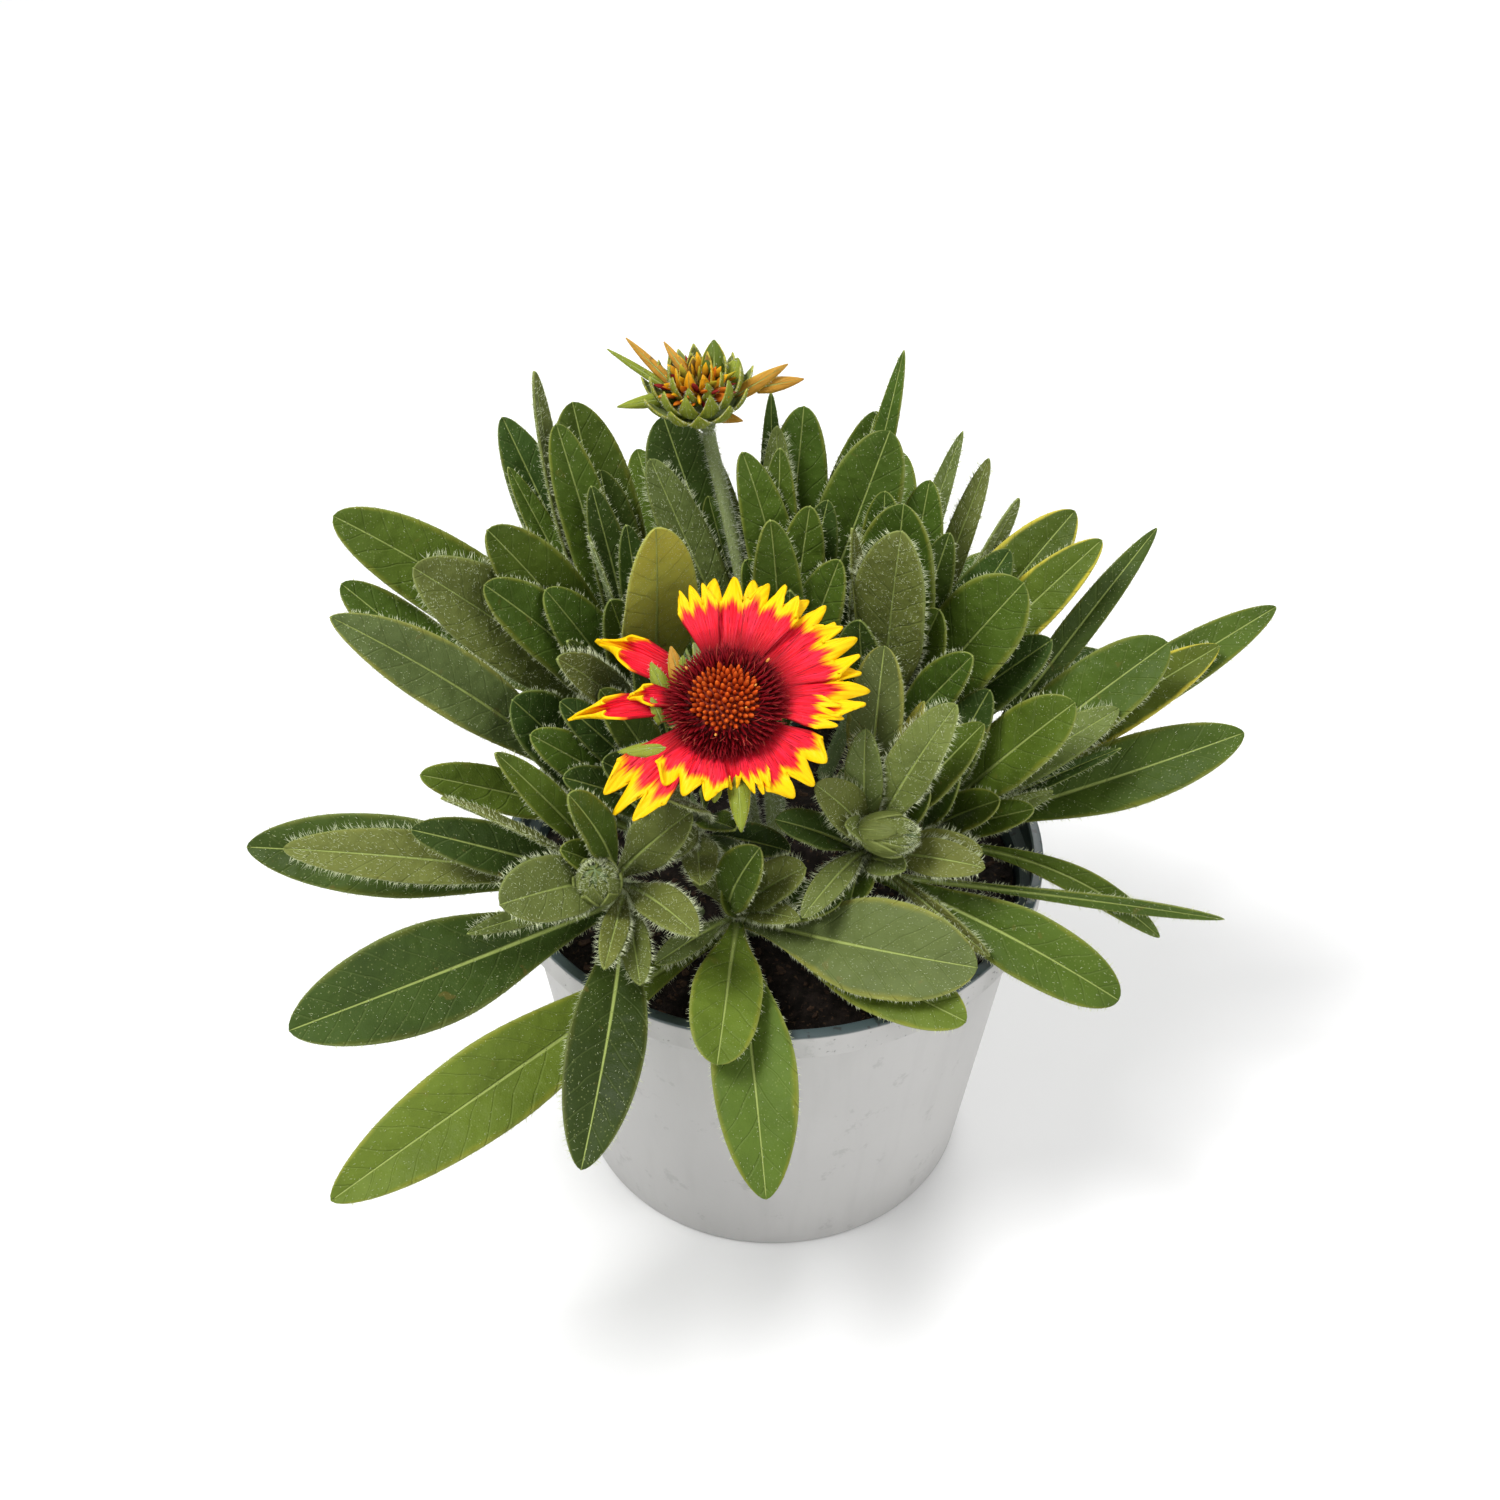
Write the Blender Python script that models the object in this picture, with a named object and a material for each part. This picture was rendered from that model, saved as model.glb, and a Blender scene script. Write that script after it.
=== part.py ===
"""Blanket flower plant in a round nursery pot.

Metres, +Z up. The pot stands on z = 0 with its axis on the Z axis, and the open flower looks
towards -Y. Shapes are worked out in millimetres and scaled once, as each object is made.

The leaves were read off a photograph: each one is given by the pixel its tip falls on and by how
deep in the plant that tip lies, and the viewpoint below turns the two into a point in space.
"""
import math
import random

import bmesh
import bpy
from mathutils import Matrix, Vector
from mathutils.bvhtree import BVHTree

MM = 0.001
UP = Vector((0, 0, 1))

# Viewpoint of the photograph: place in mm, tilt below the horizon, focal length and centre in px.
EYE = Vector((-5.9, -362.0, 417.0))
TILT = math.radians(39.3)
FOCAL_PX = 2000.0
CENTRE_PX = 750.0

# Pot.
RIM_RADIUS = 65.0
POT_HEIGHT = 93.0
BAND_HEIGHT = 7.5
BAND_STEP = 1.3
FOOT_RADIUS = 50.0
WALL = 1.3
FLOOR = 1.6
DRAIN_HOLES = 6
DRAIN_RADIUS = 4.0
DRAIN_RING = 39.0
POT_SIDES = 42

# Potting mix.
SOIL_TOP = 81.5
SOIL_RISE = 2.2
SOIL_GAP = 0.4
SOIL_SIDES = 28
HOLE_FLOOR = 70.0
HOLE_GAP = 0.5

# Leaf blades.
RIB_THICK = 0.95
EDGE_THICK = 0.75
FOLD = math.tan(math.radians(13))
PETIOLE = 0.17
LEAF_STOPS = (0.0, 0.25, 0.50, 0.74, 0.92, 1.0)
SMALL_STOPS = (0.0, 0.30, 0.60, 0.86, 1.0)
SMALL_WIDTH = 10.5
SLIM_STOPS = (0.0, 0.45, 0.85, 1.0)
SLIM_WIDTH = 6.5
SLANT = 0.95
BACK_SLANT = 1.15
FRONT_BIAS = 0.9
CLEARANCE = 0.45

# Open flower.
FLOWER_CENTRE = Vector((-11.0, -25.0, 155.0))
FLOWER_FACING = Vector((-0.04, -0.50, 0.865)).normalized()
DISC_RADIUS = 12.6
RING_INNER = 7.5
RING_OUTER = 13.2
RING_THICK = 1.3
DISC_FLORETS = 26

# Back bud.
BUD_CENTRE = Vector((-16.0, 35.0, 194.0))
BUD_FACING = Vector((-0.08, -0.16, 0.98)).normalized()

# Shoots: the stem's foot in the soil, its upper end, and its radius there.
SHOOTS = {
    "left": ((-25, 3, 81), (-39, 5, 97), 2.0),
    "front_left": ((-18, -15, 81), (-38, -31, 108), 2.2),
    "front": ((-3, -20, 81), (-10, -27, 93), 2.1),
    "front_right": ((15, -14, 81), (22, -21, 109), 2.1),
    "centre": ((-13, 2, 81), (-21, -7, 104), 2.0),
    "right": ((27, 2, 81), (38, 1, 96), 2.0),
    "back_left": ((-19, 20, 81), (-33, 27, 106), 2.1),
    "back": ((1, 21, 81), (0, 29, 100), 2.1),
    "back_right": ((20, 18, 81), (28, 24, 104), 2.1),
    "rear": ((-10, 37, 81), (-17, 47, 101), 2.0),
    "rear_right": ((13, 37, 81), (23, 47, 101), 2.0),
}

# Leaves of each shoot: name, tip pixel u and v, depth y of the tip, width, how far the blade bows
# up and sideways, roll about its own length, bluntness of the tip and height along the stem.
LEAVES = {
    "left": (
        ("sweep", 330, 617, -24, 16, 10, 4, -4, 0.1, 0.95),
        ("under", 341, 584, 14, 15, 5, 0, 5, 0.7, 0.7),
        ("pale", 420, 775, -24, 11, 8, 0, 0, 0.7, 0.55),
        ("dark", 512, 700, -16, 17, 7, 0, 0, 0.9, 0.8),
    ),
    "front_left": (
        ("long_back", 247, 847, -36, 19, 8, 2, -5, 0.2, 0.55),
        ("long_front", 283, 849, -50, 12, 9, 1, 4, 0.3, 0.7),
        ("spotted", 411, 830, -46, 12, 6, 0, 0, 0.5, 0.45),
        ("broad", 289, 1031, -84, 23, 10, -2, 0, 0.3, 0.5),
        ("hanging", 581, 1170, -104, 17, 16, -3, 0, 0.2, 0.8),
        ("spear", 495, 753, -44, 8, 6, 0, 0, 0.3, 0.9),
        ("edge", 441, 798, -48, 7, 5, 0, 60, 0.3, 0.8),
        ("upper", 568, 795, -50, 10, 6, 0, 0, 0.8, 0.95),
        ("round", 500, 905, -66, 15, 8, 0, 0, 0.9, 0.9),
        ("flap", 697, 936, -66, 10, 6, 0, 0, 0.2, 0.85),
        ("small", 604, 969, -72, 6, 5, 0, 0, 0.3, 0.75),
        ("sliver", 467, 934, -62, 5, 5, 0, 0, 0.1, 0.65),
    ),
    "front": (
        ("great", 977, 968, -58, 23, 12, 4, 0, 0.5, 0.95),
        ("notch", 717, 1065, -74, 16, 10, 0, 0, 1.0, 0.8),
        ("tongue", 766, 1199, -90, 19, 22, 0, 0, 0.2, 0.9),
        ("pale_long", 331, 1201, -92, 20, 17, 0, 0, 0.2, 0.65),
        ("under", 966, 1022, -70, 16, 8, 0, 0, 0.6, 0.55),
        ("little", 655, 964, -52, 6, 4, 0, 0, 0.5, 0.95),
        ("hang", 800, 920, -46, 6, 5, 0, 0, 0.3, 1.0),
    ),
    "front_right": (
        ("fold", 983, 853, -34, 10, 6, 0, 20, 0.3, 0.95),
        ("hairy", 990, 956, -42, 5, 7, 0, 40, 0.2, 0.85),
        ("spoon", 1118, 1000, -50, 16, 14, -2, 0, 0.7, 0.55),
        ("thin", 1224, 919, -16, 4, 12, 0, 30, 0.1, 0.45),
        ("cut", 885, 646, -18, 13, 5, 0, 0, 0.8, 0.95),
        ("inner", 984, 724, -24, 11, 5, 0, 0, 0.4, 0.85),
        ("pale", 957, 705, -34, 12, 6, 0, 0, 0.5, 0.75),
        ("short", 866, 729, -24, 9, 4, 0, 0, 0.5, 1.0),
        ("brown", 924, 701, -16, 5, 4, 0, 0, 0.3, 0.9),
    ),
    "centre": (
        ("behind", 668, 800, -42, 14, 6, 0, 0, 0.4, 0.95),
        ("lobe", 563, 778, -34, 10, 6, 0, 0, 0.9, 0.9),
        ("next", 602, 762, -28, 11, 6, 0, 0, 0.9, 0.8),
        ("round", 560, 702, -18, 10, 6, 0, 0, 0.9, 1.0),
        ("upright", 700, 792, -22, 8, 3, 0, 0, 0.5, 0.7),
        ("low", 790, 852, -30, 9, 5, 0, 0, 0.4, 0.5),
    ),
    "right": (
        ("far", 1276, 607, 24, 13, 8, 0, 0, 0.2, 0.95),
        ("yellow", 1219, 646, 14, 13, 7, 0, 0, 0.3, 0.85),
        ("big", 1168, 643, 4, 18, 8, 0, 0, 0.8, 0.95),
        ("low", 1244, 733, -2, 17, 9, 3, 0, 0.3, 0.65),
        ("grey", 1119, 709, -2, 10, 6, 0, 0, 0.5, 0.75),
        ("front", 1075, 703, -16, 16, 7, 0, 0, 0.8, 0.9),
        ("strip", 1121, 748, -10, 4, 4, 0, 0, 0.1, 0.55),
        ("edge", 1053, 791, -14, 6, 5, 0, 55, 0.4, 0.45),
        ("base", 1034, 809, -20, 8, 5, 0, 0, 0.8, 0.35),
        ("curl", 1159, 937, 0, 7, 15, 0, 0, 0.2, 0.45),
        ("twist", 1157, 528, 36, 8, 8, 0, 10, 0.1, 0.9),
    ),
    "back_left": (
        ("fuzzy", 413, 568, -4, 17, 6, 3, 0, 0.7, 0.55),
        ("crown", 333, 516, 18, 16, 7, 7, -6, 0.6, 0.7),
        ("side_mid", 487, 530, 10, 14, 6, 3, 0, 0.8, 0.9),
        ("side_low", 484, 585, 2, 13, 6, 3, 0, 0.8, 0.6),
        ("tall", 502, 417, 42, 12, 5, 0, 0, 0.3, 0.95),
        ("narrow", 508, 467, 36, 6, 4, 0, 0, 0.3, 0.75),
        ("sideways", 534, 371, 36, 7, 5, 0, 50, 0.3, 1.0),
        ("blunt", 556, 424, 30, 10, 4, 0, 0, 0.8, 0.85),
        ("broad", 572, 402, 44, 16.5, 5, 0, 0, 0.6, 0.9),
        ("shade", 591, 486, 24, 8, 4, 0, 0, 0.5, 0.6),
        ("olive", 655, 528, -2, 16, 5, 0, 0, 0.6, 0.9),
        ("edge", 588, 536, 14, 6, 3, 0, 75, 0.3, 0.75),
        ("small", 626, 525, 14, 7, 4, 0, 0, 0.7, 0.65),
        ("tucked", 567, 641, -14, 5, 3, 0, 0, 0.6, 0.5),
        ("yellow", 557, 659, -22, 9, 5, 0, 0, 0.5, 0.6),
    ),
    "back": (
        ("notch", 663, 416, 46, 17, 5, 0, 0, 0.9, 0.95),
        ("pale", 650, 459, 30, 10, 4, 0, 0, 0.7, 0.85),
        ("mid", 708, 496, 22, 9, 4, 0, 0, 0.4, 0.75),
        ("needle", 771, 392, 44, 5, 3, 0, 0, 0.2, 1.0),
        ("hairy", 777, 426, 36, 7, 3, 0, 0, 0.6, 0.9),
        ("thin", 780, 448, 28, 8, 3, 0, 0, 0.5, 0.8),
        ("tall", 804, 406, 42, 13, 3, 0, 0, 0.8, 0.95),
        ("short", 810, 506, 20, 10, 3, 0, 0, 0.8, 0.7),
        ("low", 790, 590, 6, 7, 3, 0, 0, 0.4, 0.5),
        ("hook", 904, 350, 42, 5.5, 3, 6, 0, 0.1, 0.9),
        ("second", 877, 411, 40, 11, 3, 0, 0, 0.6, 0.8),
        ("blunt", 890, 431, 32, 16, 4, 0, 0, 0.9, 0.9),
    ),
    "back_right": (
        ("mid", 885, 491, 26, 10, 4, 0, 0, 0.8, 0.75),
        ("edge", 852, 528, 10, 5, 3, 0, 65, 0.2, 0.6),
        ("curled", 963, 431, 44, 5, 5, -5, 0, 0.1, 0.8),
        ("wide", 904, 504, 14, 17, 5, 0, 0, 0.7, 1.0),
        ("olive", 902, 531, 2, 16, 5, 0, 0, 0.4, 0.95),
        ("dark", 950, 533, 20, 9, 4, 0, 0, 0.5, 0.65),
        ("upright", 989, 458, 46, 6, 4, 0, 0, 0.4, 0.6),
        ("fringe", 1019, 498, 38, 6, 6, 0, 55, 0.3, 0.7),
        ("gold", 1075, 511, 34, 15, 8, 0, 0, 0.3, 0.9),
        ("twin", 1102, 540, 24, 11, 8, 0, 0, 0.4, 0.8),
        ("round", 1024, 583, 6, 18, 6, 0, 0, 0.9, 0.85),
        ("low", 1052, 640, 4, 12, 5, 0, 0, 0.5, 0.45),
        ("centre", 973, 656, -8, 10, 4, 0, 0, 0.5, 0.55),
    ),
}

# Closed buds: shoot, centre pixel u and v, depth y, length, radius and the way the bud points.
CLOSED_BUDS = (
    ("front_left", 598, 882, -48, 11.5, 4.6, (-0.05, -0.35, 0.95)),
    ("front_right", 888, 834, -34, 14.5, 4.4, (0.93, -0.30, 0.12)),
)

# Leaves at the back, out of sight in the photograph: tip in mm, then the same values as above.
REAR_LEAVES = {
    "rear": (
        ("wide", (-58, 78, 118), 17, 12, 0, 0, 0.5, 0.8),
        ("low", (-30, 98, 92), 16, 16, 0, 0, 0.3, 0.6),
        ("high", (-34, 70, 160), 14, 6, 0, 0, 0.5, 1.0),
        ("side", (-84, 56, 112), 16, 12, 0, 0, 0.3, 0.45),
    ),
    "rear_right": (
        ("wide", (62, 78, 122), 17, 12, 0, 0, 0.5, 0.8),
        ("low", (14, 100, 96), 16, 16, 0, 0, 0.3, 0.6),
        ("high", (32, 72, 158), 14, 6, 0, 0, 0.5, 1.0),
        ("side", (88, 52, 108), 15, 12, 0, 0, 0.3, 0.45),
        ("mid", (2, 74, 150), 13, 6, 0, 0, 0.6, 0.9),
    ),
}

# Rays of the open flower: tip pixel u and v, width, and how far the tip is above the ring plane.
RAYS = (
    ("top_narrow", 690, 586, 9.0, 1.0),
    ("top", 734, 574, 15.0, -0.8),
    ("top_right", 786, 588, 12.5, 1.2),
    ("right_upper", 826, 606, 14.0, -0.6),
    ("right", 857, 640, 13.5, 0.9),
    ("right_lower", 870, 688, 13.5, -0.8),
    ("tuck", 844, 720, 8.0, 1.2),
    ("low_right", 814, 782, 17.0, -1.5),
    ("curl", 764, 796, 6.0, 1.0),
    ("low_narrow", 735, 798, 5.5, -1.5),
    ("low_front", 684, 798, 16.5, 1.0),
    ("low_left", 612, 810, 14.5, -2.5),
    ("left", 566, 715, 7.0, -1.0),
    ("fold", 627, 700, 6.0, 2.5),
    ("left_upper", 594, 636, 9.5, -0.5),
)

# Colours (linear) and roughness of each material.
LOOKS = {
    "pot_plastic": ((0.30, 0.30, 0.28), 0.55),
    "potting_mix": ((0.018, 0.011, 0.009), 0.95),
    "leaf_green": ((0.075, 0.16, 0.03), 0.6),
    "stem_green": ((0.22, 0.32, 0.10), 0.6),
    "ray_petals": ((0.62, 0.03, 0.04), 0.5),
    "disc_florets": ((0.16, 0.02, 0.015), 0.7),
    "bud_florets": ((0.70, 0.33, 0.03), 0.6),
}


def seen(u, v, y):
    """The point at depth y (mm) that the photograph shows at pixel u, v."""
    across = (u - CENTRE_PX) / FOCAL_PX
    rise = (CENTRE_PX - v) / FOCAL_PX
    way = Vector((across,
                  math.cos(TILT) + rise * math.sin(TILT),
                  rise * math.cos(TILT) - math.sin(TILT)))
    return EYE + way * ((y - EYE.y) / way.y)


def seen_on_plane(u, v, point, normal):
    """The point of a plane that the photograph shows at pixel u, v."""
    near = seen(u, v, 0.0)
    way = near - EYE
    return EYE + way * ((point - EYE).dot(normal) / way.dot(normal))


def material(name):
    colour, roughness = LOOKS[name]
    mat = bpy.data.materials.get(name) or bpy.data.materials.new(name)
    mat.use_nodes = True
    shader = mat.node_tree.nodes["Principled BSDF"]
    shader.inputs["Base Color"].default_value = (*colour, 1.0)
    shader.inputs["Roughness"].default_value = roughness
    shader.inputs["Metallic"].default_value = 0.0
    mat.diffuse_color = (*colour, 1.0)
    return mat


def add_object(name, verts, faces, look, smooth=False):
    """A new object from points in mm, with its faces turned outwards."""
    mesh = bpy.data.meshes.new(name)
    mesh.from_pydata([Vector(v) * MM for v in verts], [], faces)
    shape = bmesh.new()
    shape.from_mesh(mesh)
    bmesh.ops.recalc_face_normals(shape, faces=shape.faces)
    shape.to_mesh(mesh)
    shape.free()
    mesh.materials.append(material(look))
    for face in mesh.polygons:
        face.use_smooth = smooth
    obj = bpy.data.objects.new(name, mesh)
    bpy.context.scene.collection.objects.link(obj)
    return obj


def apply_modifiers(obj):
    """Bakes the modifiers of an object into its mesh."""
    graph = bpy.context.evaluated_depsgraph_get()
    mesh = bpy.data.meshes.new_from_object(obj.evaluated_get(graph))
    old = obj.data
    obj.modifiers.clear()
    obj.data = mesh
    mesh.name = obj.name
    bpy.data.meshes.remove(old)


def boolean(obj, others, operation, solver="MANIFOLD"):
    """Joins or cuts an object with others, which are then removed."""
    group = bpy.data.collections.new(obj.name + "_others")
    bpy.context.scene.collection.children.link(group)
    for other in others:
        bpy.context.scene.collection.objects.unlink(other)
        group.objects.link(other)
        other.hide_render = True
        other.display_type = "WIRE"
    step = obj.modifiers.new("join", "BOOLEAN")
    step.operation = operation
    step.operand_type = "COLLECTION"
    step.collection = group
    step.solver = solver
    apply_modifiers(obj)
    for other in others:
        bpy.data.objects.remove(other, do_unlink=True)
    bpy.data.collections.remove(group)


def islands(shape):
    """The separate closed surfaces of a mesh, each a list of faces."""
    left = set(shape.faces)
    found = []
    while left:
        start = left.pop()
        group, edge_of = [start], [start]
        while edge_of:
            face = edge_of.pop()
            for edge in face.edges:
                for other in edge.link_faces:
                    if other in left:
                        left.remove(other)
                        group.append(other)
                        edge_of.append(other)
        found.append(group)
    return found


def tidy(obj):
    """Splits every face into triangles and fills the small hollows that crossing blades shut in."""
    shape = bmesh.new()
    shape.from_mesh(obj.data)
    bmesh.ops.triangulate(shape, faces=shape.faces)
    groups = sorted(islands(shape), key=len)
    if len(groups) > 1:
        print(obj.name, "shut in:", [len(group) for group in groups[:-1]])
    for group in groups[:-1]:
        bmesh.ops.delete(shape, geom=group, context="FACES")
    shape.to_mesh(obj.data)
    shape.free()


def lathe(profile, sides, frame=None):
    """A closed profile of (radius, height) turned about Z, or about the Z of a frame."""
    verts = []
    rings = []
    for radius, height in profile:
        ring = []
        for side in range(sides):
            if radius < 1e-6 and side:
                ring.append(ring[0])
                continue
            angle = 2 * math.pi * side / sides
            ring.append(len(verts))
            verts.append(Vector((radius * math.cos(angle), radius * math.sin(angle), height)))
        rings.append(ring)
    faces = []
    for low, high in zip(rings, rings[1:] + rings[:1]):
        for side in range(sides):
            after = (side + 1) % sides
            corners = [low[side], low[after], high[after], high[side]]
            face = [c for i, c in enumerate(corners) if c not in corners[:i]]
            if len(face) > 2:
                faces.append(face)
    if frame is not None:
        verts = [frame @ v for v in verts]
    return verts, faces


def axes(centre, normal):
    """A frame at centre whose Z is normal and whose X is level."""
    x = UP.cross(normal)
    x = x.normalized() if x.length > 1e-5 else Vector((1, 0, 0))
    y = normal.cross(x)
    return Matrix((
        (x.x, y.x, normal.x, centre.x),
        (x.y, y.y, normal.y, centre.y),
        (x.z, y.z, normal.z, centre.z),
        (0, 0, 0, 1)))


def tube(points, radii, sides=7):
    """A closed round rod through points."""
    verts = []
    faces = []
    for i, point in enumerate(points):
        along = points[min(i + 1, len(points) - 1)] - points[max(i - 1, 0)]
        frame = axes(point, along.normalized())
        for side in range(sides):
            angle = 2 * math.pi * side / sides
            verts.append(frame @ Vector((radii[i] * math.cos(angle), radii[i] * math.sin(angle), 0)))
    for ring in range(len(points) - 1):
        for side in range(sides):
            after = (side + 1) % sides
            low = ring * sides
            high = low + sides
            faces.append((low + side, low + after, high + after, high + side))
    faces.append(tuple(reversed(range(sides))))
    faces.append(tuple(range(len(verts) - sides, len(verts))))
    return verts, faces


def facing(along, out):
    """The way the upper face of a blade looks, square to its length."""
    want = UP - out * 0.35 - Vector((0, FRONT_BIAS, 0))
    return (want - along * want.dot(along)).normalized()


def leaf_breadth(t, blunt):
    """Half-width of a leaf at t from root (0) to tip (1), as a share of its greatest."""
    peak = 0.66
    if t < peak:
        s = (t / peak) ** 1.35
        return PETIOLE + (1 - PETIOLE) * s * s * (3 - 2 * s)
    s = (t - peak) / (1 - peak)
    acute = (1 - s * s) ** 0.85
    rounded = math.sqrt(max(0.0, 1 - s ** 3))
    blunt = min(1.0, 0.25 + 0.75 * blunt)
    return blunt * rounded + (1 - blunt) * acute


def blade(root, tip, width, rise, sway, roll, blunt, seed, extra=0.0, stops=LEAF_STOPS):
    """A solid leaf: a folded, gently waved blade of even thickness on an arching midrib."""
    rng = random.Random(seed)
    phase = rng.uniform(0, 2 * math.pi)
    chord = (tip - root).normalized()
    out = Vector((tip.x, tip.y, 0))
    out = out.normalized() if out.length > 1 else Vector((0, -1, 0))
    above = facing(chord, out)
    bend = (root + tip) / 2 + above * rise + chord.cross(above) * sway
    verts = []
    for t in stops:
        point = root * (1 - t) ** 2 + bend * (2 * t * (1 - t)) + tip * t ** 2
        along = ((bend - root) * (1 - t) + (tip - bend) * t).normalized()
        normal = facing(along, out)
        normal = Matrix.Rotation(math.radians(roll) * min(1.0, t * 2.5), 3, along) @ normal
        side = along.cross(normal)
        half = max(width / 2 * leaf_breadth(t, blunt), 0.8) + extra
        lift = half * FOLD
        wave = 0.05 * half * math.sin(9.0 * t + phase)
        rib = RIB_THICK / 2 + extra
        edge = EDGE_THICK / 2 + extra
        left = point - side * half + normal * (lift + wave)
        right = point + side * half + normal * (lift - wave)
        verts += [left + normal * edge, point + normal * rib, right + normal * edge,
                  right - normal * edge, point - normal * rib, left - normal * edge]
    faces = [(0, 1, 4, 5), (1, 2, 3, 4)]
    for ring in range(len(stops) - 1):
        low = ring * 6
        high = low + 6
        faces += [
            (low, low + 1, high + 1), (low, high + 1, high),
            (low + 1, low + 2, high + 2), (low + 1, high + 2, high + 1),
            (low + 5, high + 4, low + 4), (low + 5, high + 5, high + 4),
            (low + 4, high + 3, low + 3), (low + 4, high + 4, high + 3),
            (low + 2, low + 3, high + 3), (low + 2, high + 3, high + 2),
            (low + 5, low, high), (low + 5, high, high + 5),
        ]
    last = len(verts) - 6
    faces += [(last + 5, last + 4, last + 1, last), (last + 4, last + 3, last + 2, last + 1)]
    return verts, faces


def bends():
    """Small changes to a leaf's depth, bow and sway, the least of them first."""
    tries = []
    for back in (0, -4, 4, -8, 8, -13, 13, 18, -18):
        for rise in (0, 3, -3, 6, -6, 10, 15, -10):
            for sway in (0, 3, -3, 6, -6, 10, -10):
                tries.append((abs(back) * 0.8 + abs(rise) + abs(sway) * 1.2, back, rise, sway))
    tries.sort(key=lambda row: row[0])
    return [row[1:] for row in tries]


class Thicket:
    """What is already in place, and the search for room for one more blade."""

    def __init__(self):
        self.verts = []
        self.faces = []
        self.own = {}
        self.tree = None
        self.tries = bends()

    def add(self, shape, owner, keep_from=0):
        """Adds a shape; its first keep_from points may touch others of the same owner."""
        verts, faces = shape
        start = len(self.verts)
        self.verts += verts
        self.faces += [(tuple(start + i for i in face), owner, min(face) >= keep_from)
                       for face in faces]
        self.tree = None

    def trees(self, owner):
        """One tree of everything else, and one of the outer parts of the owner's own blades."""
        if self.tree is None or self.tree[0] != owner:
            others = [face for face, who, outer in self.faces if who != owner]
            own = [face for face, who, outer in self.faces if who == owner and outer]
            self.tree = (owner,
                         BVHTree.FromPolygons(self.verts, others) if others else None,
                         BVHTree.FromPolygons(self.verts, own) if own else None)
        return self.tree[1:]

    def clear(self, shape, owner, free_points):
        others, own = self.trees(owner)
        verts, faces = shape
        if others and BVHTree.FromPolygons(verts, faces).overlap(others):
            return False
        outer = [face for face in faces if min(face) >= free_points]
        return not (own and outer and BVHTree.FromPolygons(verts, outer).overlap(own))

    def place(self, root, aim, width, rise, sway, roll, blunt, seed, owner, stops=LEAF_STOPS):
        """The blade nearest to what was asked for that stands clear of what is there."""
        for size in (1.0, 0.9, 0.78, 0.65):
            for back, up, aside in self.tries:
                tip = root + (aim(back) - root) * size
                way = (root, tip, width * size, rise + up, sway + aside, roll, blunt, seed)
                if self.clear(blade(*way, extra=CLEARANCE, stops=stops), owner, 12):
                    shape = blade(*way, stops=stops)
                    self.add(shape, owner, 12)
                    return shape
        return None


def clear_scene():
    for obj in list(bpy.data.objects):
        bpy.data.objects.remove(obj, do_unlink=True)


def pot_profile():
    """Outline of the pot wall from the floor's centre, round the outside and back inside."""
    under = POT_HEIGHT - BAND_HEIGHT
    shoulder = RIM_RADIUS - BAND_STEP
    inner = shoulder - WALL
    return [
        (0, 0), (FOOT_RADIUS - 1.2, 0), (FOOT_RADIUS, 1.2),
        (shoulder - 2.4, under - 1.0), (shoulder, under),
        (RIM_RADIUS, under + 0.5), (RIM_RADIUS, POT_HEIGHT - 0.6), (RIM_RADIUS - 0.6, POT_HEIGHT),
        (inner, POT_HEIGHT), (inner - 0.2, under + 0.8),
        (shoulder - 2.4 - WALL, under - 1.2), (FOOT_RADIUS - WALL, FLOOR + 1.0),
        (FOOT_RADIUS - WALL - 1.0, FLOOR), (0, FLOOR),
    ]


def inner_radius(z):
    """Radius of the pot's inner wall at height z."""
    under = POT_HEIGHT - BAND_HEIGHT
    low = FOOT_RADIUS - WALL
    high = RIM_RADIUS - BAND_STEP - 2.4 - WALL
    return low + (high - low) * (z - FLOOR - 1.0) / (under - 1.2 - FLOOR - 1.0)


def make_pot():
    pot = add_object("pot", *lathe(pot_profile(), POT_SIDES), "pot_plastic", smooth=True)
    drains = []
    for i in range(DRAIN_HOLES):
        angle = 2 * math.pi * (i + 0.5) / DRAIN_HOLES
        at = Vector((DRAIN_RING * math.cos(angle), DRAIN_RING * math.sin(angle), 0))
        drain = tube([at - UP * 3, at + UP * 5], [DRAIN_RADIUS] * 2, 12)
        drains.append(add_object("drain_%d" % i, *drain, "pot_plastic"))
    boolean(pot, drains, "DIFFERENCE")
    return pot


def soil_height(x, y):
    """Height of the uneven top of the potting mix."""
    away = math.hypot(x, y) / RIM_RADIUS
    lumps = math.sin(0.21 * x + 1.3) * math.cos(0.17 * y - 0.6) + 0.5 * math.sin(0.37 * (x - y))
    return SOIL_TOP + SOIL_RISE * (1 - away) + 0.8 * lumps


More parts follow.
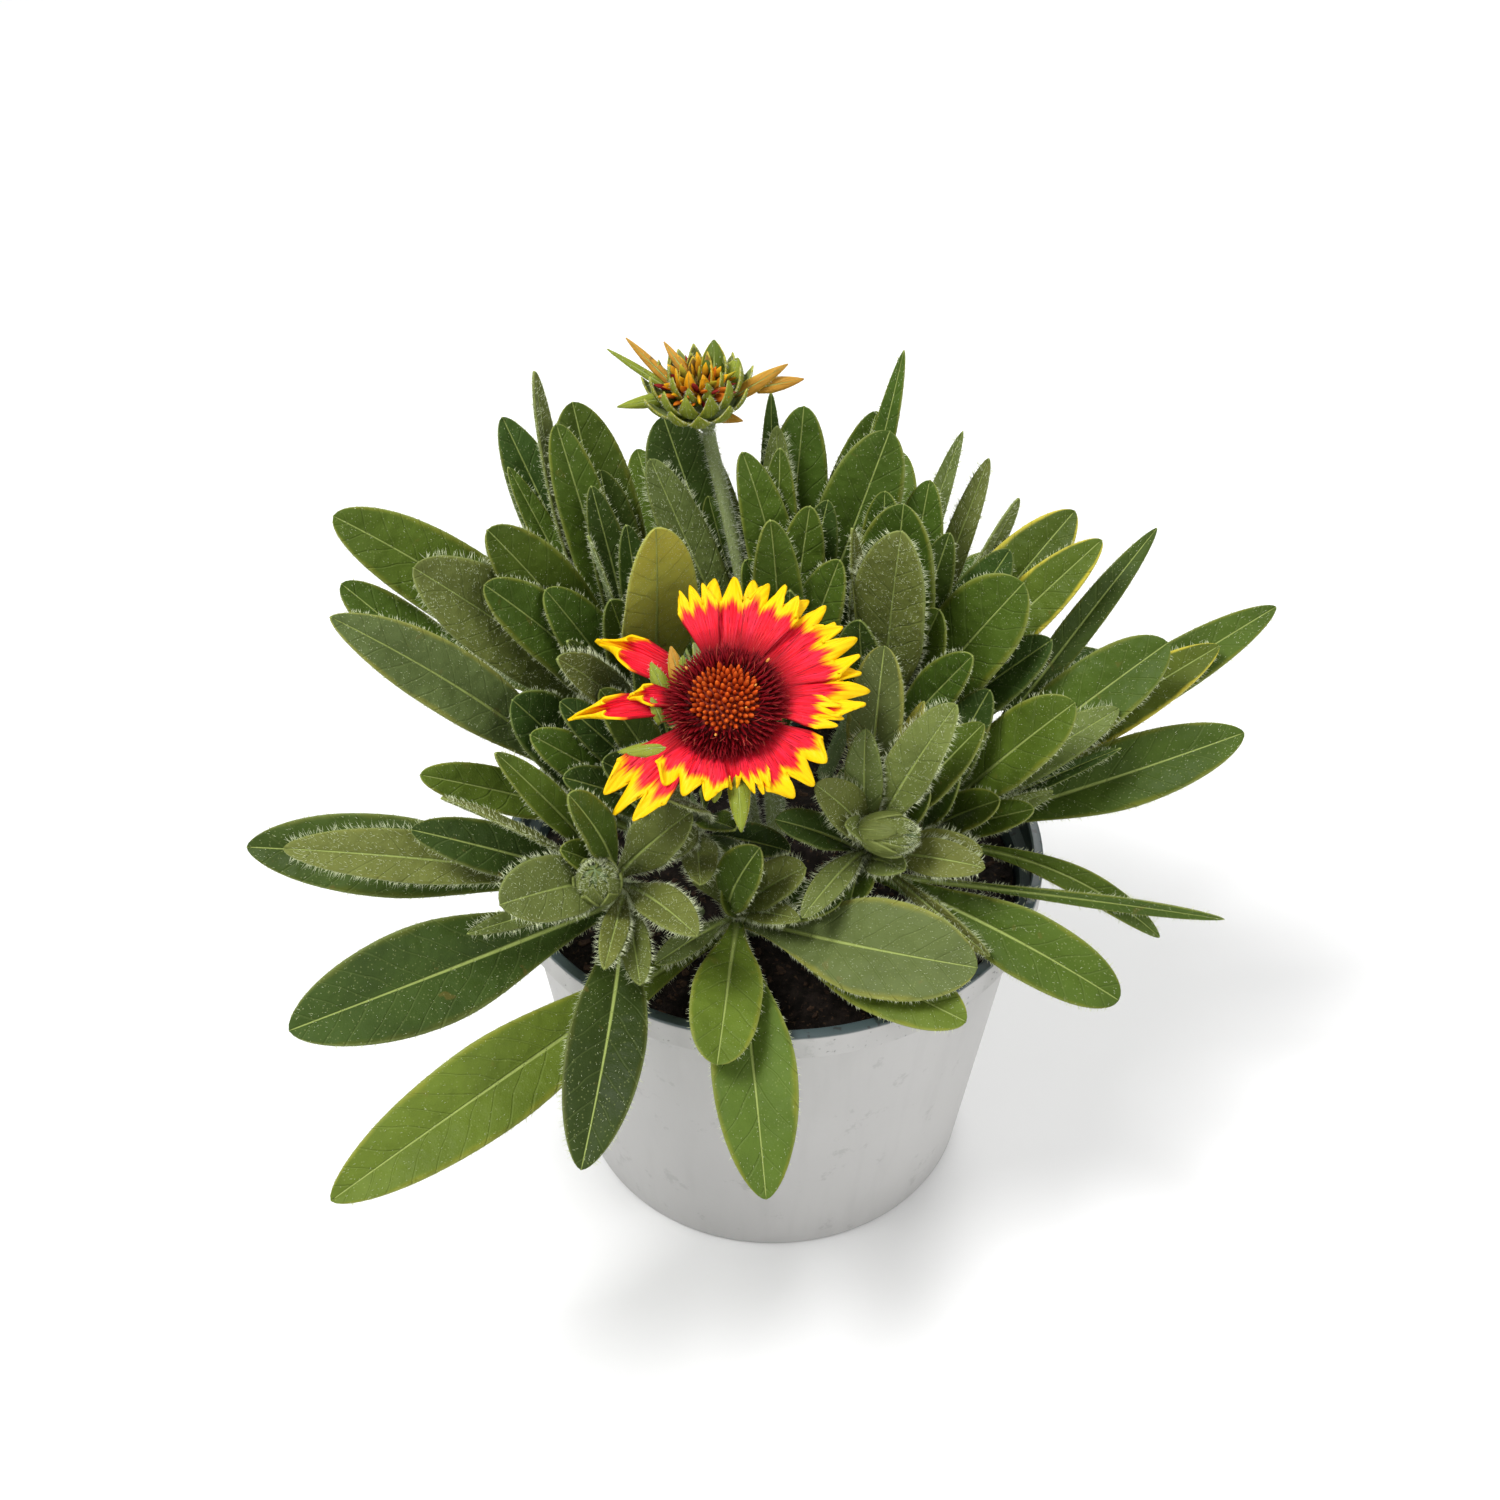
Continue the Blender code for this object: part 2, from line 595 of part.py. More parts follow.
def soil_shape():
    low = FLOOR + SOIL_GAP
    verts, faces = [], []
    wall = [(inner_radius(low + 1) - 2.0, low), (inner_radius(low + 2.5) - SOIL_GAP, low + 2.5)]
    radii = [inner_radius(SOIL_TOP) - SOIL_GAP - 0.5, 50, 38, 25, 12]
    rings = wall + [(r, None) for r in radii]
    verts.append(Vector((0, 0, low)))
    for radius, height in rings:
        for side in range(SOIL_SIDES):
            angle = 2 * math.pi * side / SOIL_SIDES
            x, y = radius * math.cos(angle), radius * math.sin(angle)
            z = soil_height(x, y) if height is None else height
            if height is None and radius == radii[0]:
                z = min(z, SOIL_TOP)
            verts.append(Vector((x, y, z)))
    verts.append(Vector((0, 0, soil_height(0, 0))))
    for side in range(SOIL_SIDES):
        after = (side + 1) % SOIL_SIDES
        faces.append((0, 1 + after, 1 + side))
        for ring in range(len(rings) - 1):
            here = 1 + ring * SOIL_SIDES
            there = here + SOIL_SIDES
            faces.append((here + side, here + after, there + after))
            faces.append((here + side, there + after, there + side))
        top = 1 + (len(rings) - 1) * SOIL_SIDES
        faces.append((top + side, top + after, len(verts) - 1))
    return verts, faces


def stem_line(foot, head, count=4):
    """Points up a short shoot stem, from the bottom of its hole to its upper end."""
    foot, head = Vector(foot), Vector(head)
    lean = (head - foot).normalized()
    start = foot - lean * ((foot.z - HOLE_FLOOR - 0.5) / lean.z)
    return [start.lerp(head, i / (count - 1)) for i in range(count)]


def flower_stem_line():
    under = FLOWER_CENTRE - FLOWER_FACING * 7.0
    return [Vector(p) for p in ((-3.2, -1.0, 70.5), (-3.6, -1.6, 82), (-5.5, -5.5, 104),
                                (-8.2, -12.5, 128))] + [under - FLOWER_FACING * 6, under]


def bud_stem_line():
    under = BUD_CENTRE - BUD_FACING * 6.0
    return [Vector(p) for p in ((1.0, 8.0, 70.5), (0.6, 9.0, 82), (-2.5, 16, 118),
                                (-8.5, 26, 155))] + [under - BUD_FACING * 7, under]


def make_soil(stems):
    """Potting mix with a plain hole for each stem."""
    soil = add_object("potting_mix", *soil_shape(), "potting_mix")
    holes = []
    for i, (line, radius) in enumerate(stems):
        way = (line[1] - line[0]).normalized()
        hole = tube([line[0] - way * 0.4, line[0] + way * 24], [radius + HOLE_GAP] * 2, 8)
        holes.append(add_object("hole_%d" % i, *hole, "potting_mix"))
    boolean(soil, holes, "DIFFERENCE")
    return soil


def leaf_rows(shoot):
    """Every leaf of a shoot: name, a function giving its tip, and its other values."""
    rows = []
    for name, u, v, y, *rest in LEAVES.get(shoot, ()):
        rows.append((name, lambda back, u=u, v=v, y=y: seen(u, v, y + back), rest))
    for name, tip, *rest in REAR_LEAVES.get(shoot, ()):
        rows.append((name, lambda back, tip=tip: Vector(tip) + Vector((0, back * 0.5, back * 0.4)),
                     rest))
    return rows


def slant(shoot):
    """How much wider a leaf is than it looks: the upright ones at the back are seen aslant."""
    return BACK_SLANT if shoot.startswith("back") else SLANT


def grow_shoots(thicket):
    """Blades of every shoot, each stood clear of those before it."""
    grown = {shoot: [] for shoot in SHOOTS}
    order = []
    for shoot in SHOOTS:
        order += [(shoot,) + row for row in leaf_rows(shoot)]
    order.sort(key=lambda row: -row[3][0])
    missed = []
    for i, (shoot, name, aim, rest) in enumerate(order):
        width, rise, sway, roll, blunt, at = rest
        foot, head, radius = SHOOTS[shoot]
        root = Vector(foot).lerp(Vector(head), 0.35 + 0.62 * at)
        stops = SMALL_STOPS if width < SMALL_WIDTH else LEAF_STOPS
        stops = SLIM_STOPS if width < SLIM_WIDTH else stops
        shape = thicket.place(root, aim, width * slant(shoot), rise, sway, roll, blunt, i,
                              "shoot_" + shoot, stops)
        if shape is None:
            missed.append(shoot + "/" + name)
        else:
            grown[shoot].append(shape)
    print("leaves with no room:", missed)
    return grown


def egg(centre, along, length, radius):
    """A closed bud: a pointed egg."""
    frame = axes(centre, along)
    outline = ((0, -0.5), (0.55, -0.42), (0.95, -0.2), (1.0, 0.05), (0.72, 0.3), (0.3, 0.46), (0, 0.5))
    return lathe([(radius * r, length * h) for r, h in outline], 8, frame)


def closed_buds(shoot):
    """The closed buds that a shoot carries, with the stalk of each."""
    shapes = []
    for owner, u, v, y, length, radius, lean in CLOSED_BUDS:
        if owner != shoot:
            continue
        head = Vector(SHOOTS[shoot][1])
        centre = seen(u, v, y)
        along = Vector(lean).normalized()
        shapes.append(egg(centre, along, length, radius))
        foot = Vector(SHOOTS[shoot][0]).lerp(head, 0.9)
        shapes.append(tube([foot, foot.lerp(centre, 0.6), centre - along * length * 0.25],
                           [1.3, 1.2, 1.2], 6))
    return shapes


def make_shoot(shoot, blades):
    """One leafy shoot: its stem with every blade grown into it."""
    foot, head, radius = SHOOTS[shoot]
    line = stem_line(foot, head)
    name = "shoot_" + shoot
    stem = add_object(name, *tube(line, [radius, radius, radius * 0.95, radius * 0.8], 7),
                      "leaf_green")
    leaves = [add_object("%s_leaf_%02d" % (name, i), *shape, "leaf_green")
              for i, shape in enumerate(blades + closed_buds(shoot))]
    boolean(stem, leaves, "UNION")
    tidy(stem)
    return stem


def cup_shape(centre, facing_way, radius, depth, neck):
    """Green cup under a flower head, from the stem's end up to the head."""
    frame = axes(centre, facing_way)
    profile = [(0, -depth - 1.5), (neck, -depth - 1.5), (neck + 0.6, -depth),
               (radius * 0.72, -depth * 0.55), (radius, -depth * 0.12), (radius - 0.3, 0), (0, 0)]
    return lathe(profile, 14, frame)


def bract(centre, facing_way, angle, start, length, width, droop, seed):
    """A small pointed green blade standing out from the rim of a cup."""
    frame = axes(centre, facing_way)
    way = frame.to_3x3() @ Vector((math.cos(angle), math.sin(angle), 0))
    root = centre + way * start - facing_way * 1.4
    tip = centre + way * (start + length) + facing_way * droop
    return blade(root, tip, width, 1.0, 0, 0, 0.15, seed, stops=(0.0, 0.6, 1.0))


def make_flower_stem():
    line = flower_stem_line()
    stem = add_object("flower_stem", *tube(line, [2.1, 2.1, 1.9, 1.7, 1.6, 2.0]), "stem_green")
    base = FLOWER_CENTRE - FLOWER_FACING * (RING_THICK / 2 + 0.4)
    parts = [add_object("cup", *cup_shape(base, FLOWER_FACING, 10.0, 6.0, 2.2), "stem_green")]
    for i in range(10):
        angle = 2 * math.pi * (i + 0.3) / 10
        length = 9.5 + 3.0 * math.sin(i * 2.3)
        parts.append(add_object("bract_%02d" % i,
                                *bract(base - FLOWER_FACING * 1.4, FLOWER_FACING, angle, 7.0,
                                       length, 4.6, -4.5 - 1.5 * (i % 2), i),
                                "stem_green"))
    boolean(stem, parts, "UNION")
    tidy(stem)
    return stem


def ray_shape(tip, width, seed):
    """A petal of the flower: a wedge with three lobes at its end, even in thickness."""
    rng = random.Random(seed)
    out = tip - FLOWER_CENTRE
    flat = (out - FLOWER_FACING * out.dot(FLOWER_FACING)).normalized()
    root = FLOWER_CENTRE + flat * (RING_OUTER - 2.6)
    side = flat.cross(FLOWER_FACING).normalized()
    bow = rng.uniform(0.6, 1.6)
    columns = (-1.0, -0.42, 0.0, 0.42, 1.0)
    reach = (0.95, 0.80, 1.0, 0.81, 0.93)
    rows = (0.0, 0.58, 1.0)
    breadth = (0.36, 0.92, 0.96)
    top, low = [], []
    for t, wide in zip(rows, breadth):
        for column, far in zip(columns, reach):
            s = t * (1 - (1 - far) * t ** 3)
            middle = root.lerp(tip, s) + FLOWER_FACING * (bow * 4 * s * (1 - s))
            lift = 0.10 * width * (column ** 2 - 0.4) * t
            point = middle + side * (column * wide * width / 2) + FLOWER_FACING * lift
            top.append(point + FLOWER_FACING * 0.38)
            low.append(point - FLOWER_FACING * 0.38)
    return grid_solid(top, low, len(columns), len(rows))


def grid_solid(top, low, columns, rows):
    """A closed sheet from an upper and a lower grid of points, split alike on both faces."""
    count = len(top)
    faces = []
    for row in range(rows - 1):
        for column in range(columns - 1):
            a = row * columns + column
            b = a + 1
            c = b + columns
            d = a + columns
            faces += [(a, b, c), (a, c, d), (count + a, count + c, count + b),
                      (count + a, count + d, count + c)]
    border = list(range(columns))
    border += [row * columns + columns - 1 for row in range(1, rows)]
    border += [(rows - 1) * columns + column for column in range(columns - 2, -1, -1)]
    border += [row * columns for row in range(rows - 2, 0, -1)]
    for a, b in zip(border, border[1:] + border[:1]):
        faces += [(a, count + a, count + b), (a, count + b, b)]
    return top + low, faces


def make_rays():
    """The rays, grown together through the ring that carries them."""
    frame = axes(FLOWER_CENTRE, FLOWER_FACING)
    half = RING_THICK / 2
    ring = lathe([(RING_INNER, -half), (RING_OUTER, -half), (RING_OUTER, half), (RING_INNER, half)],
                 20, frame)
    rays = add_object("ray_petals", *ring, "ray_petals")
    parts = []
    for i, (name, u, v, width, lift) in enumerate(RAYS):
        tip = seen_on_plane(u, v, FLOWER_CENTRE, FLOWER_FACING) + FLOWER_FACING * lift
        parts.append(add_object("ray_" + name, *ray_shape(tip, width, i), "ray_petals"))
    boolean(rays, parts, "UNION")
    tidy(rays)
    return rays


def head_core(radius, height, frame):
    """Dome inside a flower head."""
    profile = [(0, 0), (radius, 0)]
    for i in range(1, 4):
        angle = math.pi / 2 * i / 4
        profile.append((radius * math.cos(angle), height * math.sin(angle)))
    profile.append((0, height))
    return lathe(profile, 14, frame)


def floret(base, along, radius, length):
    """One small pointed floret."""
    points = [base - along * 1.0, base + along * length * 0.6, base + along * length]
    return tube(points, [radius, radius * 0.9, radius * 0.35], 4)


def head_florets(frame, radius, height, count, size, length, spread):
    """Florets over a dome in the usual spiral."""
    shapes = []
    for i in range(count):
        share = math.sqrt((i + 0.5) / count)
        angle = i * 2.399963
        tilt = share * math.pi / 2 * 0.92
        at = Vector((radius * math.sin(tilt) * math.cos(angle),
                     radius * math.sin(tilt) * math.sin(angle), height * math.cos(tilt)))
        way = Vector((math.sin(tilt * spread) * math.cos(angle),
                      math.sin(tilt * spread) * math.sin(angle), math.cos(tilt * spread)))
        shapes.append(floret(frame @ at, frame.to_3x3() @ way, size, length))
    return shapes


def make_head(name, look, centre, facing_way, radius, height, count, size, length, spread):
    frame = axes(centre, facing_way)
    head = add_object(name, *head_core(radius, height, frame), look)
    shapes = head_florets(frame, radius * 0.98, height * 0.98, count, size, length, spread)
    boolean(head, [add_object("%s_%03d" % (name, i), *shape, look)
                   for i, shape in enumerate(shapes)], "UNION")
    tidy(head)
    return head


def make_bud_stem():
    line = bud_stem_line()
    stem = add_object("bud_stem", *tube(line, [2.0, 2.0, 1.8, 1.6, 1.6, 2.0]), "stem_green")
    parts = [add_object("bud_cup", *cup_shape(BUD_CENTRE, BUD_FACING, 8.5, 5.0, 2.2),
                        "stem_green")]
    for i in range(11):
        angle = 2 * math.pi * (i + 0.55) / 11
        length = 8.0 + 5.0 * math.sin(i * 1.9 + 0.5)
        rise = 0.5 + 3.0 * (i % 3 == 0)
        parts.append(add_object("bud_bract_%02d" % i,
                                *bract(BUD_CENTRE - BUD_FACING * 1.4, BUD_FACING, angle, 5.6,
                                       length, 4.4, rise, i),
                                "stem_green"))
    boolean(stem, parts, "UNION")
    tidy(stem)
    return stem


def keep_out(thicket):
    """Everything the leaves have to stand clear of, before the first leaf."""
    for obj in bpy.data.objects:
        verts = [v.co / MM for v in obj.data.vertices]
        faces = [tuple(p.vertices) for p in obj.data.polygons]
        thicket.add((verts, faces), obj.name)
    for shoot, (foot, head, radius) in SHOOTS.items():
        thicket.add(tube(stem_line(foot, head), [radius + 0.1] * 4, 8), "shoot_" + shoot, 10000)
        for shape in closed_buds(shoot):
            thicket.add(shape, "shoot_" + shoot, 10000)


def main():
    clear_scene()
    stems = [(stem_line(foot, head), radius) for foot, head, radius in SHOOTS.values()]
    stems += [(flower_stem_line(), 2.1), (bud_stem_line(), 2.0)]
    make_pot()
    make_soil(stems)
    make_flower_stem()
    make_rays()
    make_head("flower_disc", "disc_florets", FLOWER_CENTRE + FLOWER_FACING * (RING_THICK / 2 + 0.9),
              FLOWER_FACING, DISC_RADIUS - 1.4, 5.0, DISC_FLORETS, 0.95, 2.6, 0.75)
    make_bud_stem()
    make_head("bud_florets", "bud_florets", BUD_CENTRE + BUD_FACING * 1.8, BUD_FACING,
              5.2, 4.0, 18, 1.1, 3.4, 0.4)
    thicket = Thicket()
    keep_out(thicket)
    grown = grow_shoots(thicket)
    for shoot, blades in grown.items():
        make_shoot(shoot, blades)
    for obj in bpy.data.objects:
        print(obj.name, len(obj.data.polygons), "faces")


main()
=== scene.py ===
"""Blanket flower plant in a nursery pot: the dressed model, laid out as an add-on.

Sizes are in millimetres until a mesh is made. Every leaf follows the same midrib as in the solid
model: its place comes from the pixel its tip falls on in the photograph and from how deep in the
plant that tip lies.
"""

import math
import random

import bpy
import numpy as np
from bpy.props import FloatProperty, FloatVectorProperty, IntProperty, PointerProperty
from mathutils import Matrix, Vector, noise
from mathutils.bvhtree import BVHTree


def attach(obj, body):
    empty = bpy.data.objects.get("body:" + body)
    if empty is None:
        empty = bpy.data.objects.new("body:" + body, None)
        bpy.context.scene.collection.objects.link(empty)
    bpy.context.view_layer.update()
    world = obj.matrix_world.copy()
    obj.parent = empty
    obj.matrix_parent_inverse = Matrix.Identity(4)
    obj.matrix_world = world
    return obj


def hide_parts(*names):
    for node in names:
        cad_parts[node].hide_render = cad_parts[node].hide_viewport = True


bl_info = {
    "name": "Blanket flower plant",
    "version": (1, 0, 0),
    "blender": (4, 5, 0),
    "location": "3D View > Sidebar > Plant",
    "description": "Builds a potted blanket flower with hairy leaves, an open flower and a bud",
    "category": "Add Mesh",
}

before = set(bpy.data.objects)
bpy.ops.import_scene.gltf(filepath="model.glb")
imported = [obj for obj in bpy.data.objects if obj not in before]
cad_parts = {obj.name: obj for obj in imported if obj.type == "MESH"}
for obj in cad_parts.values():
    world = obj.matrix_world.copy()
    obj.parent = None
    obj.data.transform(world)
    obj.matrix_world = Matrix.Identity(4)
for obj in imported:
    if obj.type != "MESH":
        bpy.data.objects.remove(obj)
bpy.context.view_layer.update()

MM = 0.001
UP = Vector((0, 0, 1))

# Viewpoint of the photograph: place in mm, tilt below the horizon, focal length and centre in px.
EYE = Vector((-5.9, -362.0, 417.0))
TILT = math.radians(39.3)
FOCAL_PX = 2000.0
CENTRE_PX = 750.0

# Pot.
RIM_RADIUS = 65.0
POT_HEIGHT = 93.0
BAND_HEIGHT = 7.5
BAND_STEP = 1.3
FOOT_RADIUS = 50.0
WALL = 1.3
WALL_STEP = 2.4
FLOOR = 1.6
DRAIN_HOLES = 6
DRAIN_RADIUS = 4.0
DRAIN_RING = 39.0
POT_SIDES = 180

# Potting mix.
SOIL_TOP = 81.5
SOIL_RISE = 2.2
SOIL_GAP = 0.4
HOLE_FLOOR = 70.0

# Leaf blades, as in the solid model.
RIB_THICK = 0.95
EDGE_THICK = 0.75
FOLD = math.tan(math.radians(13))
PETIOLE = 0.17
LEAF_STOPS = (0.0, 0.25, 0.5, 0.74, 0.92, 1.0)
SMALL_STOPS = (0.0, 0.3, 0.6, 0.86, 1.0)
SMALL_WIDTH = 10.5
SLIM_STOPS = (0.0, 0.45, 0.85, 1.0)
SLIM_WIDTH = 6.5
SLANT = 0.95
BACK_SLANT = 1.15
FRONT_BIAS = 0.9
CLEARANCE = 0.45
FILL_CLEARANCE = 0.05
FILL_SEED = 300

# Open flower and back bud.
FLOWER_CENTRE = Vector((-11.0, -25.0, 155.0))
FLOWER_FACING = Vector((-0.04, -0.5, 0.865)).normalized()
RING_OUTER = 13.2
RING_THICK = 1.3
BUD_CENTRE = Vector((-16.0, 35.0, 194.0))
BUD_FACING = Vector((-0.08, -0.16, 0.98)).normalized()
BUD_BOWL = BUD_CENTRE + Vector((-1.5, 0.0, 0.6))
STALK_RADII = (1.3, 1.2, 1.2)

# Shoots: the stem's foot in the soil, its upper end, and its radius there.
SHOOTS = {
    "left": ((-25, 3, 81), (-39, 5, 97), 2.0),
    "front_left": ((-18, -15, 81), (-38, -31, 108), 2.2),
    "front": ((-3, -20, 81), (-10, -27, 93), 2.1),
    "front_right": ((15, -14, 81), (22, -21, 109), 2.1),
    "centre": ((-13, 2, 81), (-21, -7, 104), 2.0),
    "right": ((27, 2, 81), (38, 1, 96), 2.0),
    "back_left": ((-19, 20, 81), (-33, 27, 106), 2.1),
    "back": ((1, 21, 81), (0, 29, 100), 2.1),
    "back_right": ((20, 18, 81), (28, 24, 104), 2.1),
    "rear": ((-10, 37, 81), (-17, 47, 101), 2.0),
    "rear_right": ((13, 37, 81), (23, 47, 101), 2.0),
}

# Leaves of each shoot: name, tip pixel u and v, depth y of the tip, width, how far the blade bows
# up, bluntness of the tip, height along the stem and look. Some rows go on with how far the blade
# bows sideways and its roll about its own length, in degrees.
LEAVES = {
    "left": (
        ("sweep", 330, 617, -24, 16, 10, 0.1, 0.95, "dusty", 4, -4),
        ("under", 341, 584, 14, 15, 5, 0.7, 0.7, "mid", 0, 5),
        ("pale", 420, 775, -24, 11, 8, 0.7, 0.55, "light"),
        ("dark", 512, 700, -16, 17, 7, 0.9, 0.8, "dark"),
    ),
    "front_left": (
        ("long_back", 247, 847, -36, 19, 8, 0.2, 0.55, "dark", 2, -5),
        ("long_front", 283, 849, -50, 12, 9, 0.3, 0.7, "hairy", 1, 4),
        ("spotted", 411, 830, -46, 12, 6, 0.5, 0.45, "dark"),
        ("broad", 289, 1031, -84, 23, 10, 0.3, 0.5, "dark", -2, 0),
        ("hanging", 581, 1170, -104, 17, 16, 0.2, 0.8, "deep", -3, 0),
        ("spear", 495, 753, -44, 8, 6, 0.3, 0.9, "mid"),
        ("edge", 441, 798, -48, 7, 5, 0.3, 0.8, "hairy", 0, 60),
        ("upper", 568, 795, -50, 10, 6, 0.8, 0.95, "mid"),
        ("round", 500, 905, -66, 15, 8, 0.9, 0.9, "hairy"),
        ("flap", 697, 936, -66, 10, 6, 0.2, 0.85, "hairy"),
        ("small", 604, 969, -72, 6, 5, 0.3, 0.75, "hairy"),
        ("sliver", 467, 934, -62, 5, 5, 0.1, 0.65, "hairy"),
    ),
    "front": (
        ("great", 977, 968, -58, 23, 12, 0.5, 0.95, "dusty", 4, 0),
        ("notch", 717, 1065, -74, 16, 10, 1.0, 0.8, "light"),
        ("tongue", 766, 1199, -90, 19, 22, 0.2, 0.9, "light"),
        ("pale_long", 331, 1201, -92, 20, 17, 0.2, 0.65, "light"),
        ("under", 966, 1022, -70, 16, 8, 0.6, 0.55, "light"),
        ("little", 655, 964, -52, 6, 4, 0.5, 0.95, "hairy"),
        ("hang", 800, 920, -46, 6, 5, 0.3, 1.0, "hairy"),
    ),
    "front_right": (
        ("fold", 983, 853, -34, 10, 6, 0.3, 0.95, "hairy", 0, 20),
        ("hairy", 990, 956, -42, 5, 7, 0.2, 0.85, "hairy", 0, 40),
        ("spoon", 1118, 1000, -50, 16, 14, 0.7, 0.55, "mid", -2, 0),
        ("thin", 1224, 919, -16, 4, 12, 0.1, 0.45, "mid", 0, 30),
        ("cut", 885, 646, -18, 13, 5, 0.8, 0.95, "dusty"),
        ("inner", 984, 724, -24, 11, 5, 0.4, 0.85, "mid"),
        ("pale", 957, 705, -34, 12, 6, 0.5, 0.75, "hairy"),
        ("short", 866, 729, -24, 9, 4, 0.5, 1.0, "hairy"),
        ("brown", 924, 701, -16, 5, 4, 0.3, 0.9, "olive"),
    ),
    "centre": (
        ("behind", 668, 800, -42, 14, 6, 0.4, 0.95, "hairy"),
        ("lobe", 563, 778, -34, 10, 6, 0.9, 0.9, "dark"),
        ("next", 602, 762, -28, 11, 6, 0.9, 0.8, "dark"),
        ("round", 560, 702, -18, 10, 6, 0.9, 1.0, "dark"),
        ("upright", 700, 792, -22, 8, 3, 0.5, 0.7, "mid"),
        ("low", 790, 852, -30, 9, 5, 0.4, 0.5, "dark"),
    ),
    "right": (
        ("far", 1276, 607, 24, 13, 8, 0.2, 0.95, "mid"),
        ("yellow", 1219, 646, 14, 13, 7, 0.3, 0.85, "gold"),
        ("big", 1168, 643, 4, 18, 8, 0.8, 0.95, "mid"),
        ("low", 1244, 733, -2, 17, 9, 0.3, 0.65, "mid", 3, 0),
        ("grey", 1119, 709, -2, 10, 6, 0.5, 0.75, "hairy"),
        ("front", 1075, 703, -16, 16, 7, 0.8, 0.9, "mid"),
        ("strip", 1121, 748, -10, 4, 4, 0.1, 0.55, "dark"),
        ("edge", 1053, 791, -14, 6, 5, 0.4, 0.45, "hairy", 0, 55),
        ("base", 1034, 809, -20, 8, 5, 0.8, 0.35, "mid"),
        ("curl", 1159, 937, 0, 7, 15, 0.2, 0.45, "mid"),
        ("twist", 1157, 528, 36, 8, 8, 0.1, 0.9, "dark", 0, 10),
    ),
    "back_left": (
        ("fuzzy", 413, 568, -4, 17, 6, 0.7, 0.55, "hairy", 3, 0),
        ("crown", 333, 516, 18, 16, 7, 0.6, 0.7, "mid", 7, -6),
        ("side_mid", 487, 530, 10, 14, 6, 0.8, 0.9, "mid", 3, 0),
        ("side_low", 484, 585, 2, 13, 6, 0.8, 0.6, "mid", 3, 0),
        ("tall", 502, 417, 42, 12, 5, 0.3, 0.95, "dark"),
        ("narrow", 508, 467, 36, 6, 4, 0.3, 0.75, "mid"),
        ("sideways", 534, 371, 36, 7, 5, 0.3, 1.0, "hairy", 0, 50),
        ("blunt", 556, 424, 30, 10, 4, 0.8, 0.85, "mid"),
        ("broad", 572, 402, 44, 16.5, 5, 0.6, 0.9, "mid"),
        ("shade", 591, 486, 24, 8, 4, 0.5, 0.6, "dark"),
        ("olive", 655, 528, -2, 16, 5, 0.6, 0.9, "olive"),
        ("edge", 588, 536, 14, 6, 3, 0.3, 0.75, "hairy", 0, 75),
        ("small", 626, 525, 14, 7, 4, 0.7, 0.65, "dark"),
        ("tucked", 567, 641, -14, 5, 3, 0.6, 0.5, "dark"),
        ("yellow", 557, 659, -22, 9, 5, 0.5, 0.6, "hairy"),
    ),
    "back": (
        ("notch", 663, 416, 46, 17, 5, 0.9, 0.95, "dark"),
        ("pale", 650, 459, 30, 10, 4, 0.7, 0.85, "hairy"),
        ("mid", 708, 496, 22, 9, 4, 0.4, 0.75, "mid"),
        ("needle", 771, 392, 44, 5, 3, 0.2, 1.0, "dark"),
        ("hairy", 777, 426, 36, 7, 3, 0.6, 0.9, "hairy"),
        ("thin", 780, 448, 28, 8, 3, 0.5, 0.8, "mid"),
        ("tall", 804, 406, 42, 13, 3, 0.8, 0.95, "mid"),
        ("short", 810, 506, 20, 10, 3, 0.8, 0.7, "mid"),
        ("low", 790, 590, 6, 7, 3, 0.4, 0.5, "dark"),
        ("hook", 904, 350, 42, 5.5, 3, 0.1, 0.9, "mid", 6, 0),
        ("second", 877, 411, 40, 11, 3, 0.6, 0.8, "mid"),
        ("blunt", 890, 431, 32, 16, 4, 0.9, 0.9, "mid"),
    ),
    "back_right": (
        ("mid", 885, 491, 26, 10, 4, 0.8, 0.75, "mid"),
        ("edge", 852, 528, 10, 5, 3, 0.2, 0.6, "hairy", 0, 65),
        ("curled", 963, 431, 44, 5, 5, 0.1, 0.8, "hairy", -5, 0),
        ("wide", 904, 504, 14, 17, 5, 0.7, 1.0, "mid"),
        ("olive", 902, 531, 2, 16, 5, 0.4, 0.95, "hairy"),
        ("dark", 950, 533, 20, 9, 4, 0.5, 0.65, "dark"),
        ("upright", 989, 458, 46, 6, 4, 0.4, 0.6, "hairy"),
        ("fringe", 1019, 498, 38, 6, 6, 0.3, 0.7, "hairy", 0, 55),
        ("gold", 1075, 511, 34, 15, 8, 0.3, 0.9, "gold"),
        ("twin", 1102, 540, 24, 11, 8, 0.4, 0.8, "gold"),
        ("round", 1024, 583, 6, 18, 6, 0.9, 0.85, "mid"),
        ("low", 1052, 640, 4, 12, 5, 0.5, 0.45, "dark"),
        ("centre", 973, 656, -8, 10, 4, 0.5, 0.55, "mid"),
    ),
}

# Closed buds: shoot, centre pixel u and v, depth y, length, radius and the way the bud points.
CLOSED_BUDS = (
    ("front_left", 598, 882, -48, 11.5, 4.6, (-0.05, -0.35, 0.95)),
    ("front_right", 888, 834, -34, 14.5, 4.4, (0.93, -0.3, 0.12)),
)

